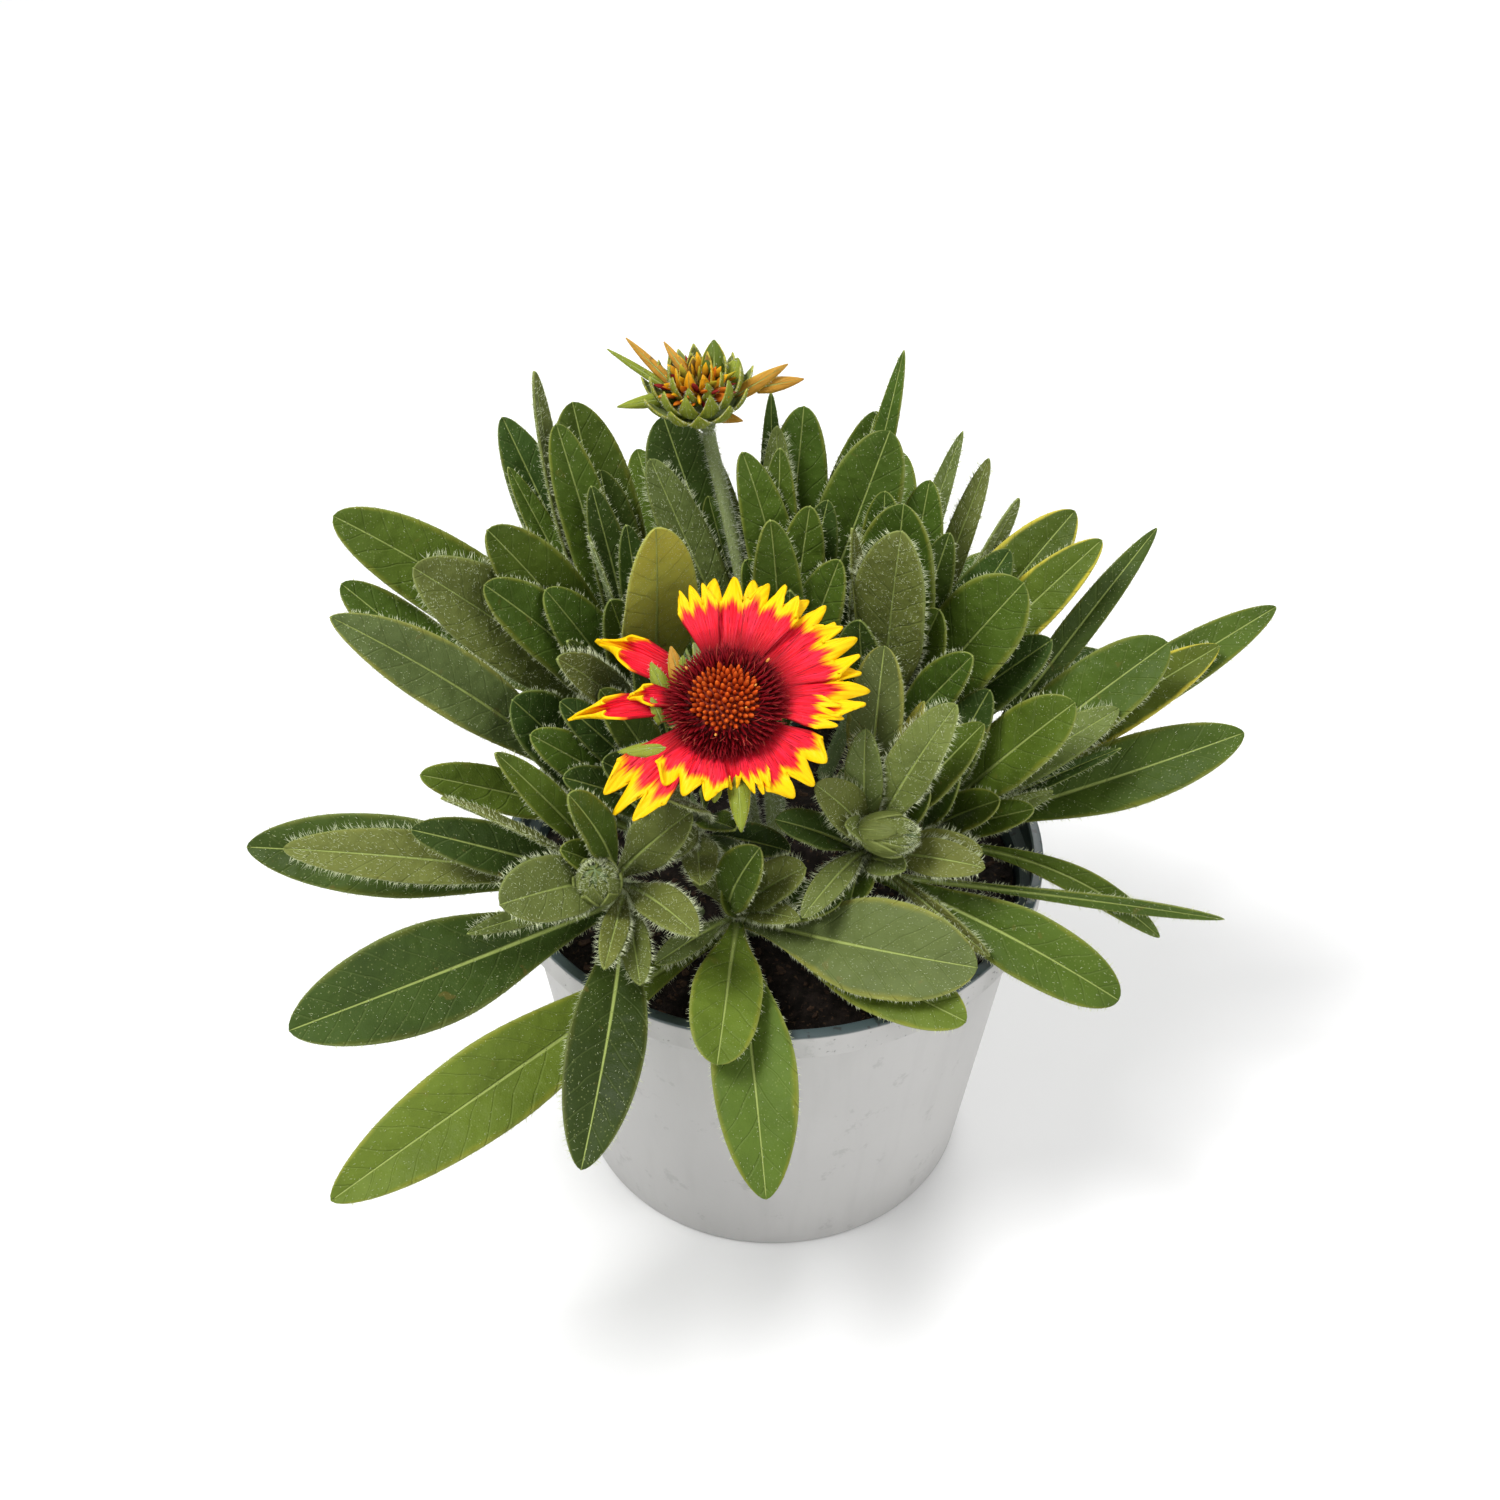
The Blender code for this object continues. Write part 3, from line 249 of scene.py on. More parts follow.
# Leaves at the back, out of sight in the photograph: tip in mm, then the same values as above.
REAR_LEAVES = {
    "rear": (
        ("wide", (-58, 78, 118), 17, 12, 0.5, 0.8, "mid"),
        ("low", (-30, 98, 92), 16, 16, 0.3, 0.6, "dark"),
        ("high", (-34, 70, 160), 14, 6, 0.5, 1.0, "mid"),
        ("side", (-84, 56, 112), 16, 12, 0.3, 0.45, "dark"),
    ),
    "rear_right": (
        ("wide", (62, 78, 122), 17, 12, 0.5, 0.8, "mid"),
        ("low", (14, 100, 96), 16, 16, 0.3, 0.6, "dark"),
        ("high", (32, 72, 158), 14, 6, 0.5, 1.0, "mid"),
        ("side", (88, 52, 108), 15, 12, 0.3, 0.45, "dark"),
        ("mid", (2, 74, 150), 13, 6, 0.6, 0.9, "mid"),
    ),
}

# Rays of the open flower: tip pixel u and v, width, and how far the tip is above the ring plane.
RAYS = (
    ("top_narrow", 690, 586, 9.0, 1.0),
    ("top", 734, 574, 15.0, -0.8),
    ("top_right", 786, 588, 12.5, 1.2),
    ("right_upper", 826, 606, 14.0, -0.6),
    ("right", 857, 640, 13.5, 0.9),
    ("right_lower", 870, 688, 13.5, -0.8),
    ("tuck", 844, 720, 8.0, 1.2),
    ("low_right", 814, 782, 17.0, -1.5),
    ("curl", 764, 796, 6.0, 1.0),
    ("low_narrow", 735, 798, 5.5, -1.5),
    ("low_front", 684, 798, 16.5, 1.0),
    ("low_left", 612, 810, 14.5, -2.5),
    ("left", 566, 715, 7.0, -1.0),
    ("fold", 627, 700, 6.0, 2.5),
    ("left_upper", 594, 636, 9.5, -0.5),
)

# Leaf looks: upper-side colour (linear), gold margin, blotches, hairs per mm of edge, hairs per
# square mm of blade and hair length in mm.
LEAF_LOOKS = {
    "dark": ((0.046, 0.082, 0.012), 0.08, 0.3, 2.0, 0.3, 1.1),
    "deep": ((0.032, 0.058, 0.008), 0.05, 0.3, 2.4, 0.35, 1.2),
    "mid": ((0.074, 0.124, 0.013), 0.15, 0.2, 2.0, 0.3, 1.1),
    "dusty": ((0.115, 0.15, 0.042), 0.25, 0.2, 2.4, 0.7, 1.0),
    "hairy": ((0.155, 0.187, 0.045), 0.05, 0.1, 3.6, 1.25, 1.8),
    "light": ((0.118, 0.178, 0.02), 0.2, 0.15, 1.5, 0.25, 1.0),
    "olive": ((0.42, 0.395, 0.06), 0.1, 0.6, 2.4, 1.1, 1.0),
    "gold": ((0.1, 0.145, 0.015), 1.0, 0.5, 2.0, 0.3, 1.1),
    "dry": ((0.52, 0.27, 0.035), 0.6, 1.0, 1.2, 0.15, 0.7),
    "sepal": ((0.26, 0.31, 0.034), 0.45, 0.3, 2.6, 0.6, 0.8),
    "young": ((0.8, 0.38, 0.008), 0.8, 0.6, 0.0, 0.0, 0.5),
}

# Bracts seen between the open flower's rays: name, root and tip pixels, lift of the tip, width
# and look.
FLOWER_STRAYS = (
    ("upper", 668, 700, 652, 668, 3.0, 4.2, "sepal"),
    ("upper_dry", 682, 690, 672, 652, 3.0, 4.0, "dry"),
    ("upper_inner", 684, 688, 684, 662, 3.5, 3.0, "sepal"),
    ("side", 662, 722, 652, 702, 2.5, 2.6, "sepal"),
    ("left", 680, 746, 618, 753, 0.5, 4.0, "sepal"),
    ("front", 738, 770, 741, 830, -1.5, 4.8, "sepal"),
    ("front_left", 716, 786, 714, 801, -1.0, 2.6, "sepal"),
)

# Rings of bracts round the opening bud: count, root and tip as (distance from the axis, height),
# width and how far they bulge.
BUD_RINGS = (
    (11, (3.6, -3.6), (12.2, 4.6), 5.6, 2.4),
    (11, (3.8, -2.4), (9.4, 7.4), 5.0, 2.6),
    (9, (3.4, 0.0), (6.2, 8.0), 3.6, 1.6),
)

# Bracts that stray from the opening bud: name, root and tip pixels, depth y of the tip, width and
# look.
BUD_STRAYS = (
    ("far_left", 668, 388, 607, 349, 38, 1.8, "sepal"),
    ("upper_left", 672, 384, 626, 338, 40, 2.3, "dry"),
    ("upper", 686, 374, 664, 342, 40, 2.0, "dry"),
    ("crest", 714, 378, 714, 340, 40, 6.0, "gold"),
    ("crest_right", 728, 388, 738, 358, 38, 5.6, "sepal"),
    ("lower_left", 676, 396, 617, 407, 30, 3.2, "sepal"),
    ("wing", 732, 398, 788, 364, 33, 3.4, "dry"),
    ("wing_end", 756, 388, 804, 379, 32, 3.4, "dry"),
    ("under", 704, 412, 743, 421, 30, 3.2, "dry"),
)

# Leaves that fill the heart of the clump, small and partly hidden; same values as above.
FILL_LEAVES = {
    "front_left": (
        ("veil", 692, 812, -36, 12, 6, 0.6, 0.95, "hairy"),
        ("below", 640, 985, -70, 7, 4, 0.5, 0.8, "hairy"),
        ("behind", 560, 850, -46, 9, 5, 0.5, 0.8, "mid"),
    ),
    "centre": (
        ("beside", 735, 830, -32, 7, 4, 0.5, 0.9, "mid"),
        ("left", 628, 800, -34, 10, 5, 0.7, 0.9, "dark"),
        ("low", 700, 885, -42, 9, 6, 0.5, 0.8, "hairy"),
        ("outer", 530, 735, -26, 11, 6, 0.8, 0.9, "mid"),
        ("up", 600, 690, -12, 11, 5, 0.7, 0.95, "mid"),
        ("high", 640, 650, -6, 12, 5, 0.7, 0.9, "dark"),
        ("front", 745, 870, -38, 8, 5, 0.5, 0.7, "mid"),
        ("tiny", 664, 860, -40, 8, 4, 0.5, 0.9, "hairy"),
    ),
    "front_right": (
        ("inner_a", 815, 785, -32, 11, 5, 0.6, 0.95, "hairy"),
        ("inner_b", 848, 765, -26, 10, 5, 0.6, 0.9, "mid"),
        ("inner_c", 775, 820, -32, 9, 4, 0.5, 0.85, "dark"),
        ("fold_low", 985, 868, -38, 9, 5, 0.3, 0.9, "hairy"),
        ("gap", 930, 790, -24, 10, 5, 0.6, 0.85, "mid"),
        ("drop", 802, 918, -48, 7, 9, 0.3, 1.0, "hairy"),
        ("low", 850, 905, -42, 9, 5, 0.5, 0.7, "mid"),
        ("side", 905, 870, -38, 8, 5, 0.5, 0.7, "hairy"),
        ("leaflet", 845, 825, -36, 7, 4, 0.5, 1.0, "hairy"),
    ),
    "front": (
        ("heart_a", 700, 850, -34, 12, 5, 0.6, 1.0, "hairy"),
        ("heart_b", 760, 848, -34, 12, 5, 0.6, 0.95, "mid"),
        ("heart_c", 806, 868, -38, 11, 5, 0.6, 0.9, "hairy"),
        ("heart_d", 728, 872, -40, 10, 5, 0.6, 0.8, "mid"),
        ("heart_e", 842, 900, -44, 10, 5, 0.6, 0.7, "mid"),
    ),
    "right": (
        ("gap", 960, 770, -18, 11, 6, 0.6, 0.8, "mid"),
        ("rim", 1000, 800, -20, 10, 6, 0.8, 0.5, "mid"),
        ("shade", 990, 690, -8, 12, 6, 0.6, 0.7, "dark"),
    ),
    "back": (
        ("fill_a", 745, 560, 14, 11, 4, 0.6, 0.8, "mid"),
        ("fill_e", 742, 452, 26, 10, 3, 0.6, 0.9, "mid"),
        ("fill_f", 828, 500, 24, 10, 3, 0.6, 0.9, "dark"),
        ("fill_b", 720, 610, 4, 10, 4, 0.6, 0.6, "dark"),
        ("fill_c", 840, 560, 12, 11, 4, 0.6, 0.8, "mid"),
        ("fill_d", 770, 520, 20, 10, 4, 0.6, 0.8, "mid"),
    ),
    "back_left": (
        ("fill_a", 610, 600, 8, 11, 4, 0.6, 0.7, "dark"),
        ("fill_b", 545, 590, 8, 12, 5, 0.7, 0.7, "mid"),
        ("fill_c", 600, 470, 30, 11, 4, 0.6, 0.8, "dark"),
    ),
    "back_right": (
        ("fill_a", 940, 610, 4, 12, 4, 0.7, 0.7, "mid"),
        ("fill_b", 860, 620, 0, 11, 4, 0.6, 0.6, "dark"),
        ("fill_c", 930, 480, 30, 11, 4, 0.6, 0.8, "mid"),
        ("fill_d", 1010, 550, 24, 11, 5, 0.6, 0.8, "dark"),
    ),
}

# Fine leaf blades: grid, breadth over the solid's, and space between side veins in mm.
LEAF_COLUMNS = 15
LEAF_ROWS = 32
FULLNESS = 1.02
VEIN_SPACING = 6.2

# Lobes at a ray's end: place across it, reach and half-width; and the rays folded to one point.
LOBES = ((-0.66, 0.93, 0.34), (0.0, 1.0, 0.34), (0.66, 0.94, 0.34))
FOLDED_RAYS = {"left", "left_upper", "fold", "low_narrow"}

# Middle of the open flower: radius and height of its dome, and the turn between florets.
DISC_WIDE = 10.6
DISC_TALL = 4.6
GOLDEN_TURN = 2.399963

HAIR_WIDTH = 0.13
STEM_HAIR_WIDTH = 0.1
BRACT_THICK = 0.0004
PETAL_THICK = 0.00055


def seen(u, v, y):
    """The point at depth y (mm) that the photograph shows at pixel u, v."""
    across = (u - CENTRE_PX) / FOCAL_PX
    rise = (CENTRE_PX - v) / FOCAL_PX
    way = Vector((across,
                  math.cos(TILT) + rise * math.sin(TILT),
                  rise * math.cos(TILT) - math.sin(TILT)))
    return EYE + way * ((y - EYE.y) / way.y)


def seen_on_plane(u, v, point, normal):
    """The point of a plane that the photograph shows at pixel u, v."""
    near = seen(u, v, 0.0)
    way = near - EYE
    return EYE + way * ((point - EYE).dot(normal) / way.dot(normal))


def lathe(profile, sides, base=None):
    """A closed profile of (radius, height) turned about Z, or about the Z of base."""
    verts = []
    rings = []
    for radius, height in profile:
        ring = []
        for side in range(sides):
            if radius < 1e-6 and side:
                ring.append(ring[0])
                continue
            angle = 2 * math.pi * side / sides
            ring.append(len(verts))
            verts.append(Vector((radius * math.cos(angle), radius * math.sin(angle), height)))
        rings.append(ring)
    faces = []
    for low, high in zip(rings, rings[1:] + rings[:1]):
        for side in range(sides):
            after = (side + 1) % sides
            corners = [low[side], low[after], high[after], high[side]]
            face = [c for i, c in enumerate(corners) if c not in corners[:i]]
            if len(face) > 2:
                faces.append(face)
    if base is not None:
        verts = [base @ v for v in verts]
    return verts, faces


def matrix_of(x, y, z, place):
    """The frame at place with these axes."""
    return Matrix((
        (x.x, y.x, z.x, place.x),
        (x.y, y.y, z.y, place.y),
        (x.z, y.z, z.z, place.z),
        (0, 0, 0, 1)))


def axes(centre, normal):
    """A frame at centre whose Z is normal and whose X is level."""
    x = UP.cross(normal)
    x = x.normalized() if x.length > 1e-5 else Vector((1, 0, 0))
    return matrix_of(x, normal.cross(x), normal, centre)


def tube(points, radii, sides=7):
    """A closed round rod through points."""
    verts = []
    faces = []
    for i, point in enumerate(points):
        along = points[min(i + 1, len(points) - 1)] - points[max(i - 1, 0)]
        base = axes(point, along.normalized())
        for side in range(sides):
            angle = 2 * math.pi * side / sides
            verts.append(base @ Vector((radii[i] * math.cos(angle), radii[i] * math.sin(angle), 0)))
    for ring in range(len(points) - 1):
        for side in range(sides):
            after = (side + 1) % sides
            low = ring * sides
            high = low + sides
            faces.append((low + side, low + after, high + after, high + side))
    faces.append(tuple(reversed(range(sides))))
    faces.append(tuple(range(len(verts) - sides, len(verts))))
    return verts, faces


def square(way, axis):
    """The part of way at right angles to axis, at unit length."""
    return (way - axis * way.dot(axis)).normalized()


def outlook(out):
    """The way that a leaf reaching out would like its upper face to look."""
    return UP - out * 0.35 - Vector((0, FRONT_BIAS, 0))


def facing(along, out):
    """The way the upper face of a blade looks, square to its length."""
    return square(outlook(out), along)


def arch(root, tip, rise, sway):
    """The point that bends a leaf's midrib, and the level way the leaf reaches out."""
    chord = (tip - root).normalized()
    out = Vector((tip.x, tip.y, 0))
    out = out.normalized() if out.length > 1 else Vector((0, -1, 0))
    above = facing(chord, out)
    return (root + tip) / 2 + above * rise + chord.cross(above) * sway, out


def leaf_breadth(t, blunt):
    """Half-width of a leaf at t from root (0) to tip (1), as a share of its greatest."""
    peak = 0.66
    if t < peak:
        s = (t / peak) ** 1.35
        return PETIOLE + (1 - PETIOLE) * s * s * (3 - 2 * s)
    s = (t - peak) / (1 - peak)
    acute = (1 - s * s) ** 0.85
    rounded = math.sqrt(max(0.0, 1 - s ** 3))
    blunt = min(1.0, 0.25 + 0.75 * blunt)
    return blunt * rounded + (1 - blunt) * acute


def blade(root, tip, width, rise, sway, roll, blunt, seed, extra=0.0, stops=LEAF_STOPS):
    """A solid leaf: a folded, gently waved blade of even thickness on an arching midrib."""
    rng = random.Random(seed)
    phase = rng.uniform(0, 2 * math.pi)
    bend, out = arch(root, tip, rise, sway)
    verts = []
    for t in stops:
        point = root * (1 - t) ** 2 + bend * (2 * t * (1 - t)) + tip * t ** 2
        along = ((bend - root) * (1 - t) + (tip - bend) * t).normalized()
        normal = facing(along, out)
        normal = Matrix.Rotation(math.radians(roll) * min(1.0, t * 2.5), 3, along) @ normal
        side = along.cross(normal)
        half = max(width / 2 * leaf_breadth(t, blunt), 0.8) + extra
        lift = half * FOLD
        wave = 0.05 * half * math.sin(9.0 * t + phase)
        rib = RIB_THICK / 2 + extra
        edge = EDGE_THICK / 2 + extra
        left = point - side * half + normal * (lift + wave)
        right = point + side * half + normal * (lift - wave)
        verts += [left + normal * edge, point + normal * rib, right + normal * edge,
                  right - normal * edge, point - normal * rib, left - normal * edge]
    faces = [(0, 1, 4, 5), (1, 2, 3, 4)]
    for ring in range(len(stops) - 1):
        low = ring * 6
        high = low + 6
        faces += [
            (low, low + 1, high + 1), (low, high + 1, high),
            (low + 1, low + 2, high + 2), (low + 1, high + 2, high + 1),
            (low + 5, high + 4, low + 4), (low + 5, high + 5, high + 4),
            (low + 4, high + 3, low + 3), (low + 4, high + 4, high + 3),
            (low + 2, low + 3, high + 3), (low + 2, high + 3, high + 2),
            (low + 5, low, high), (low + 5, high, high + 5),
        ]
    last = len(verts) - 6
    faces += [(last + 5, last + 4, last + 1, last), (last + 4, last + 3, last + 2, last + 1)]
    return verts, faces


def bends():
    """Small changes to a leaf's depth, bow and sway, the least of them first."""
    tries = []
    for back in (0, -4, 4, -8, 8, -13, 13, 18, -18):
        for rise in (0, 3, -3, 6, -6, 10, 15, -10):
            for sway in (0, 3, -3, 6, -6, 10, -10):
                tries.append((abs(back) * 0.8 + abs(rise) + abs(sway) * 1.2, back, rise, sway))
    tries.sort(key=lambda row: row[0])
    return [row[1:] for row in tries]


class Thicket:
    """What is already in place, and the search for room for one more blade."""

    def __init__(self):
        self.verts = []
        self.faces = []
        self.own = {}
        self.tree = None
        self.tries = bends()

    def add(self, shape, owner, keep_from=0):
        """Adds a shape; its first keep_from points may touch others of the same owner."""
        verts, faces = shape
        start = len(self.verts)
        self.verts += verts
        self.faces += [(tuple(start + i for i in face), owner, min(face) >= keep_from)
                       for face in faces]
        self.tree = None

    def trees(self, owner):
        """One tree of everything else, and one of the outer parts of the owner's own blades."""
        if self.tree is None or self.tree[0] != owner:
            others = [face for face, who, outer in self.faces if who != owner]
            own = [face for face, who, outer in self.faces if who == owner and outer]
            self.tree = (owner,
                         BVHTree.FromPolygons(self.verts, others) if others else None,
                         BVHTree.FromPolygons(self.verts, own) if own else None)
        return self.tree[1:]

    def clear(self, shape, owner, free_points):
        """Whether a shape meets nothing; its first free_points may touch the owner's own."""
        others, own = self.trees(owner)
        verts, faces = shape
        if others and BVHTree.FromPolygons(verts, faces).overlap(others):
            return False
        outer = [face for face in faces if min(face) >= free_points]
        return not (own and outer and BVHTree.FromPolygons(verts, outer).overlap(own))

    def place(self, root, aim, width, rise, sway, roll, blunt, seed, owner, stops=LEAF_STOPS,
              clearance=CLEARANCE):
        """The blade nearest to what was asked for that stands clear of what is there."""
        for size in (1.0, 0.9, 0.78, 0.65):
            for back, up, aside in self.tries:
                tip = root + (aim(back) - root) * size
                way = (root, tip, width * size, rise + up, sway + aside, roll, blunt, seed)
                if self.clear(blade(*way, extra=clearance, stops=stops), owner, 12):
                    self.add(blade(*way, stops=stops), owner, 12)
                    return way
        return None


def stem_line(foot, head, count=4):
    """Points up a short shoot stem, from the bottom of its hole to its upper end."""
    foot, head = Vector(foot), Vector(head)
    lean = (head - foot).normalized()
    start = foot - lean * ((foot.z - HOLE_FLOOR - 0.5) / lean.z)
    return [start.lerp(head, i / (count - 1)) for i in range(count)]


def flower_stem_line():
    """Points up the open flower's stem."""
    under = FLOWER_CENTRE - FLOWER_FACING * 7.0
    return [Vector(p) for p in ((-3.2, -1.0, 70.5), (-3.6, -1.6, 82), (-5.5, -5.5, 104),
                                (-8.2, -12.5, 128))] + [under - FLOWER_FACING * 6, under]


def bud_stem_line():
    """Points up the opening bud's stem."""
    under = BUD_CENTRE - BUD_FACING * 6.0
    return [Vector(p) for p in ((1.0, 8.0, 70.5), (0.6, 9.0, 82), (-2.5, 16, 118),
                                (-8.5, 26, 155))] + [under - BUD_FACING * 7, under]


def leaf_rows(shoot):
    """Every leaf of a shoot: name, a function giving its tip, and its other values."""
    rows = []
    for name, u, v, y, *rest in LEAVES.get(shoot, ()):
        rows.append((name, lambda back, u=u, v=v, y=y: seen(u, v, y + back), rest))
    for name, tip, *rest in REAR_LEAVES.get(shoot, ()):
        rows.append((name, lambda back, tip=tip: Vector(tip) + Vector((0, back * 0.5, back * 0.4)),
                     rest))
    return rows


def egg(centre, along, length, radius):
    """A closed bud: a pointed egg."""
    outline = ((0, -0.5), (0.55, -0.42), (0.95, -0.2), (1.0, 0.05), (0.72, 0.3), (0.3, 0.46),
               (0, 0.5))
    return lathe([(radius * r, length * h) for r, h in outline], 8, axes(centre, along))


def buds_of(shoot):
    """The closed buds of a shoot: centre, the way each points, length and radius."""
    return [(seen(u, v, y), Vector(lean).normalized(), length, radius)
            for owner, u, v, y, length, radius, lean in CLOSED_BUDS if owner == shoot]


def bud_stalk(shoot, centre, along, length):
    """Points of the stalk from a shoot's stem to its closed bud."""
    foot, head, radius = SHOOTS[shoot]
    foot = Vector(foot).lerp(Vector(head), 0.9)
    return [foot, foot.lerp(centre, 0.6), centre - along * length * 0.25]


def closed_buds(shoot):
    """Shapes of the closed buds that a shoot carries, with the stalk of each."""
    shapes = []
    for centre, along, length, radius in buds_of(shoot):
        shapes.append(egg(centre, along, length, radius))
        shapes.append(tube(bud_stalk(shoot, centre, along, length), STALK_RADII, 6))
    return shapes


def inner_radius(z):
    """Radius of the pot's inner wall at height z."""
    under = POT_HEIGHT - BAND_HEIGHT
    low = FOOT_RADIUS - WALL
    high = RIM_RADIUS - BAND_STEP - WALL_STEP - WALL
    return low + (high - low) * (z - FLOOR - 1.0) / (under - 1.2 - FLOOR - 1.0)


def soil_height(x, y):
    """Height of the uneven top of the potting mix."""
    away = math.hypot(x, y) / RIM_RADIUS
    lumps = math.sin(0.21 * x + 1.3) * math.cos(0.17 * y - 0.6) + 0.5 * math.sin(0.37 * (x - y))
    return SOIL_TOP + SOIL_RISE * (1 - away) + 0.8 * lumps


def slant(shoot):
    """How much wider a leaf is than it looks: the upright ones at the back are seen aslant."""
    return BACK_SLANT if shoot.startswith("back") else SLANT


class PlantSizes(bpy.types.PropertyGroup):
    """Sizes and amounts of the leaves and their hairs."""

    leaf_thickness: FloatProperty(
        name="Leaf thickness", description="Thickness of a leaf blade, in metres",
        default=0.0006, min=0.0003, max=0.0009, subtype="DISTANCE", unit="LENGTH")
    hair_amount: FloatProperty(
        name="Hair amount", description="Share of the usual number of hairs",
        default=1.0, min=0.0, max=2.0, subtype="FACTOR")
    disc_florets: IntProperty(
        name="Disc florets", description="Florets in the middle of the open flower",
        default=420, min=60, max=800)
    bark_bits: IntProperty(
        name="Bark bits", description="Bits of bark lying on the potting mix",
        default=520, min=0, max=1200)


class PlantColours(bpy.types.PropertyGroup):
    """Colours of the pot, the petals and the floor."""

    pot_skin: FloatVectorProperty(
        name="Pot skin", description="Light grey outer face of the pot",
        default=(0.48, 0.474, 0.462), size=3, min=0.0, max=1.0, subtype="COLOR")
    pot_inside: FloatVectorProperty(
        name="Pot inside", description="Dark slate of the lip and the inner face",
        default=(0.03, 0.046, 0.048), size=3, min=0.0, max=1.0, subtype="COLOR")
    petal_red: FloatVectorProperty(
        name="Petal red", description="Crimson of the inner part of a ray",
        default=(0.88, 0.008, 0.02), size=3, min=0.0, max=1.0, subtype="COLOR")
    petal_yellow: FloatVectorProperty(
        name="Petal yellow", description="Yellow of the ends of a ray",
        default=(0.97, 0.6, 0.003), size=3, min=0.0, max=1.0, subtype="COLOR")
    floor: FloatVectorProperty(
        name="Floor", description="Colour of the plain floor",
        default=(0.9, 0.9, 0.9), size=3, min=0.0, max=1.0, subtype="COLOR")


def select_only(obj):
    """Deselects everything but obj and makes it the active object."""
    if bpy.context.mode != "OBJECT":
        bpy.ops.object.mode_set(mode="OBJECT")
    bpy.ops.object.select_all(action="DESELECT")
    obj.select_set(True)
    bpy.context.view_layer.objects.active = obj


def apply_all(obj):
    """Applies every modifier of obj in order."""
    select_only(obj)
    for step in list(obj.modifiers):
        bpy.ops.object.modifier_apply(modifier=step.name)


def add_object(name, data):
    """A new object in the scene that shows data."""
    obj = bpy.data.objects.new(name, data)
    bpy.context.scene.collection.objects.link(obj)
    return obj


def primitive(adder, **settings):
    """Adds a primitive with nothing else selected and gives its object."""
    bpy.ops.object.select_all(action="DESELECT")
    adder(**settings)
    return bpy.context.view_layer.objects.active


def new_object(name, verts, faces, smooth=True):
    """A new object from points in mm."""
    mesh = bpy.data.meshes.new(name)
    verts = np.asarray(verts, dtype=float) * MM
    mesh.from_pydata(verts.tolist(), [], faces)
    mesh.polygons.foreach_set("use_smooth", [smooth] * len(mesh.polygons))
    mesh.update()
    return add_object(name, mesh)


def join(name, parts):
    """Joins parts into one object under a new name."""
    select_only(parts[0])
    for part in parts:
        part.select_set(True)
    if len(parts) > 1:
        bpy.ops.object.join()
    obj = bpy.context.view_layer.objects.active
    obj.name = name
    obj.data.name = name
    return obj


def place_piece(obj, slot, *nodes):
    """Ties a finished piece to the frame and hides the solids it stands for; its finish, slot, is
    not used.
    """
    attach(obj, "root")
    if nodes:
        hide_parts(*nodes)
    return obj


def paint(obj, *skins):
    """Gives obj these materials and no others."""
    obj.data.materials.clear()
    for skin in skins:
        obj.data.materials.append(skin)


def spread(mesh, name, values):
    """Stores a vector on every point of mesh, for its material to read."""
    field = mesh.attributes.new(name, "FLOAT_VECTOR", "POINT")
    field.data.foreach_set("vector", np.ascontiguousarray(values, dtype=np.float32).ravel())


def stain(mesh, name, values):
    """Stores a colour on every point of mesh, for its material to read."""
    field = mesh.attributes.new(name, "FLOAT_COLOR", "POINT")
    field.data.foreach_set("color", np.ascontiguousarray(values, dtype=np.float32).ravel())


def grid_template(columns, rows):
    """A flat grid to bend into shape, and where its points lie: across -1 to 1, up 0 to 1."""
    template = primitive(bpy.ops.mesh.primitive_grid_add, x_subdivisions=columns,
                         y_subdivisions=rows, size=2)
    flat = np.empty(len(template.data.vertices) * 3)
    template.data.vertices.foreach_get("co", flat)
    flat = flat.reshape(-1, 3)
    return template, flat[:, 0], (flat[:, 1] + 1) / 2


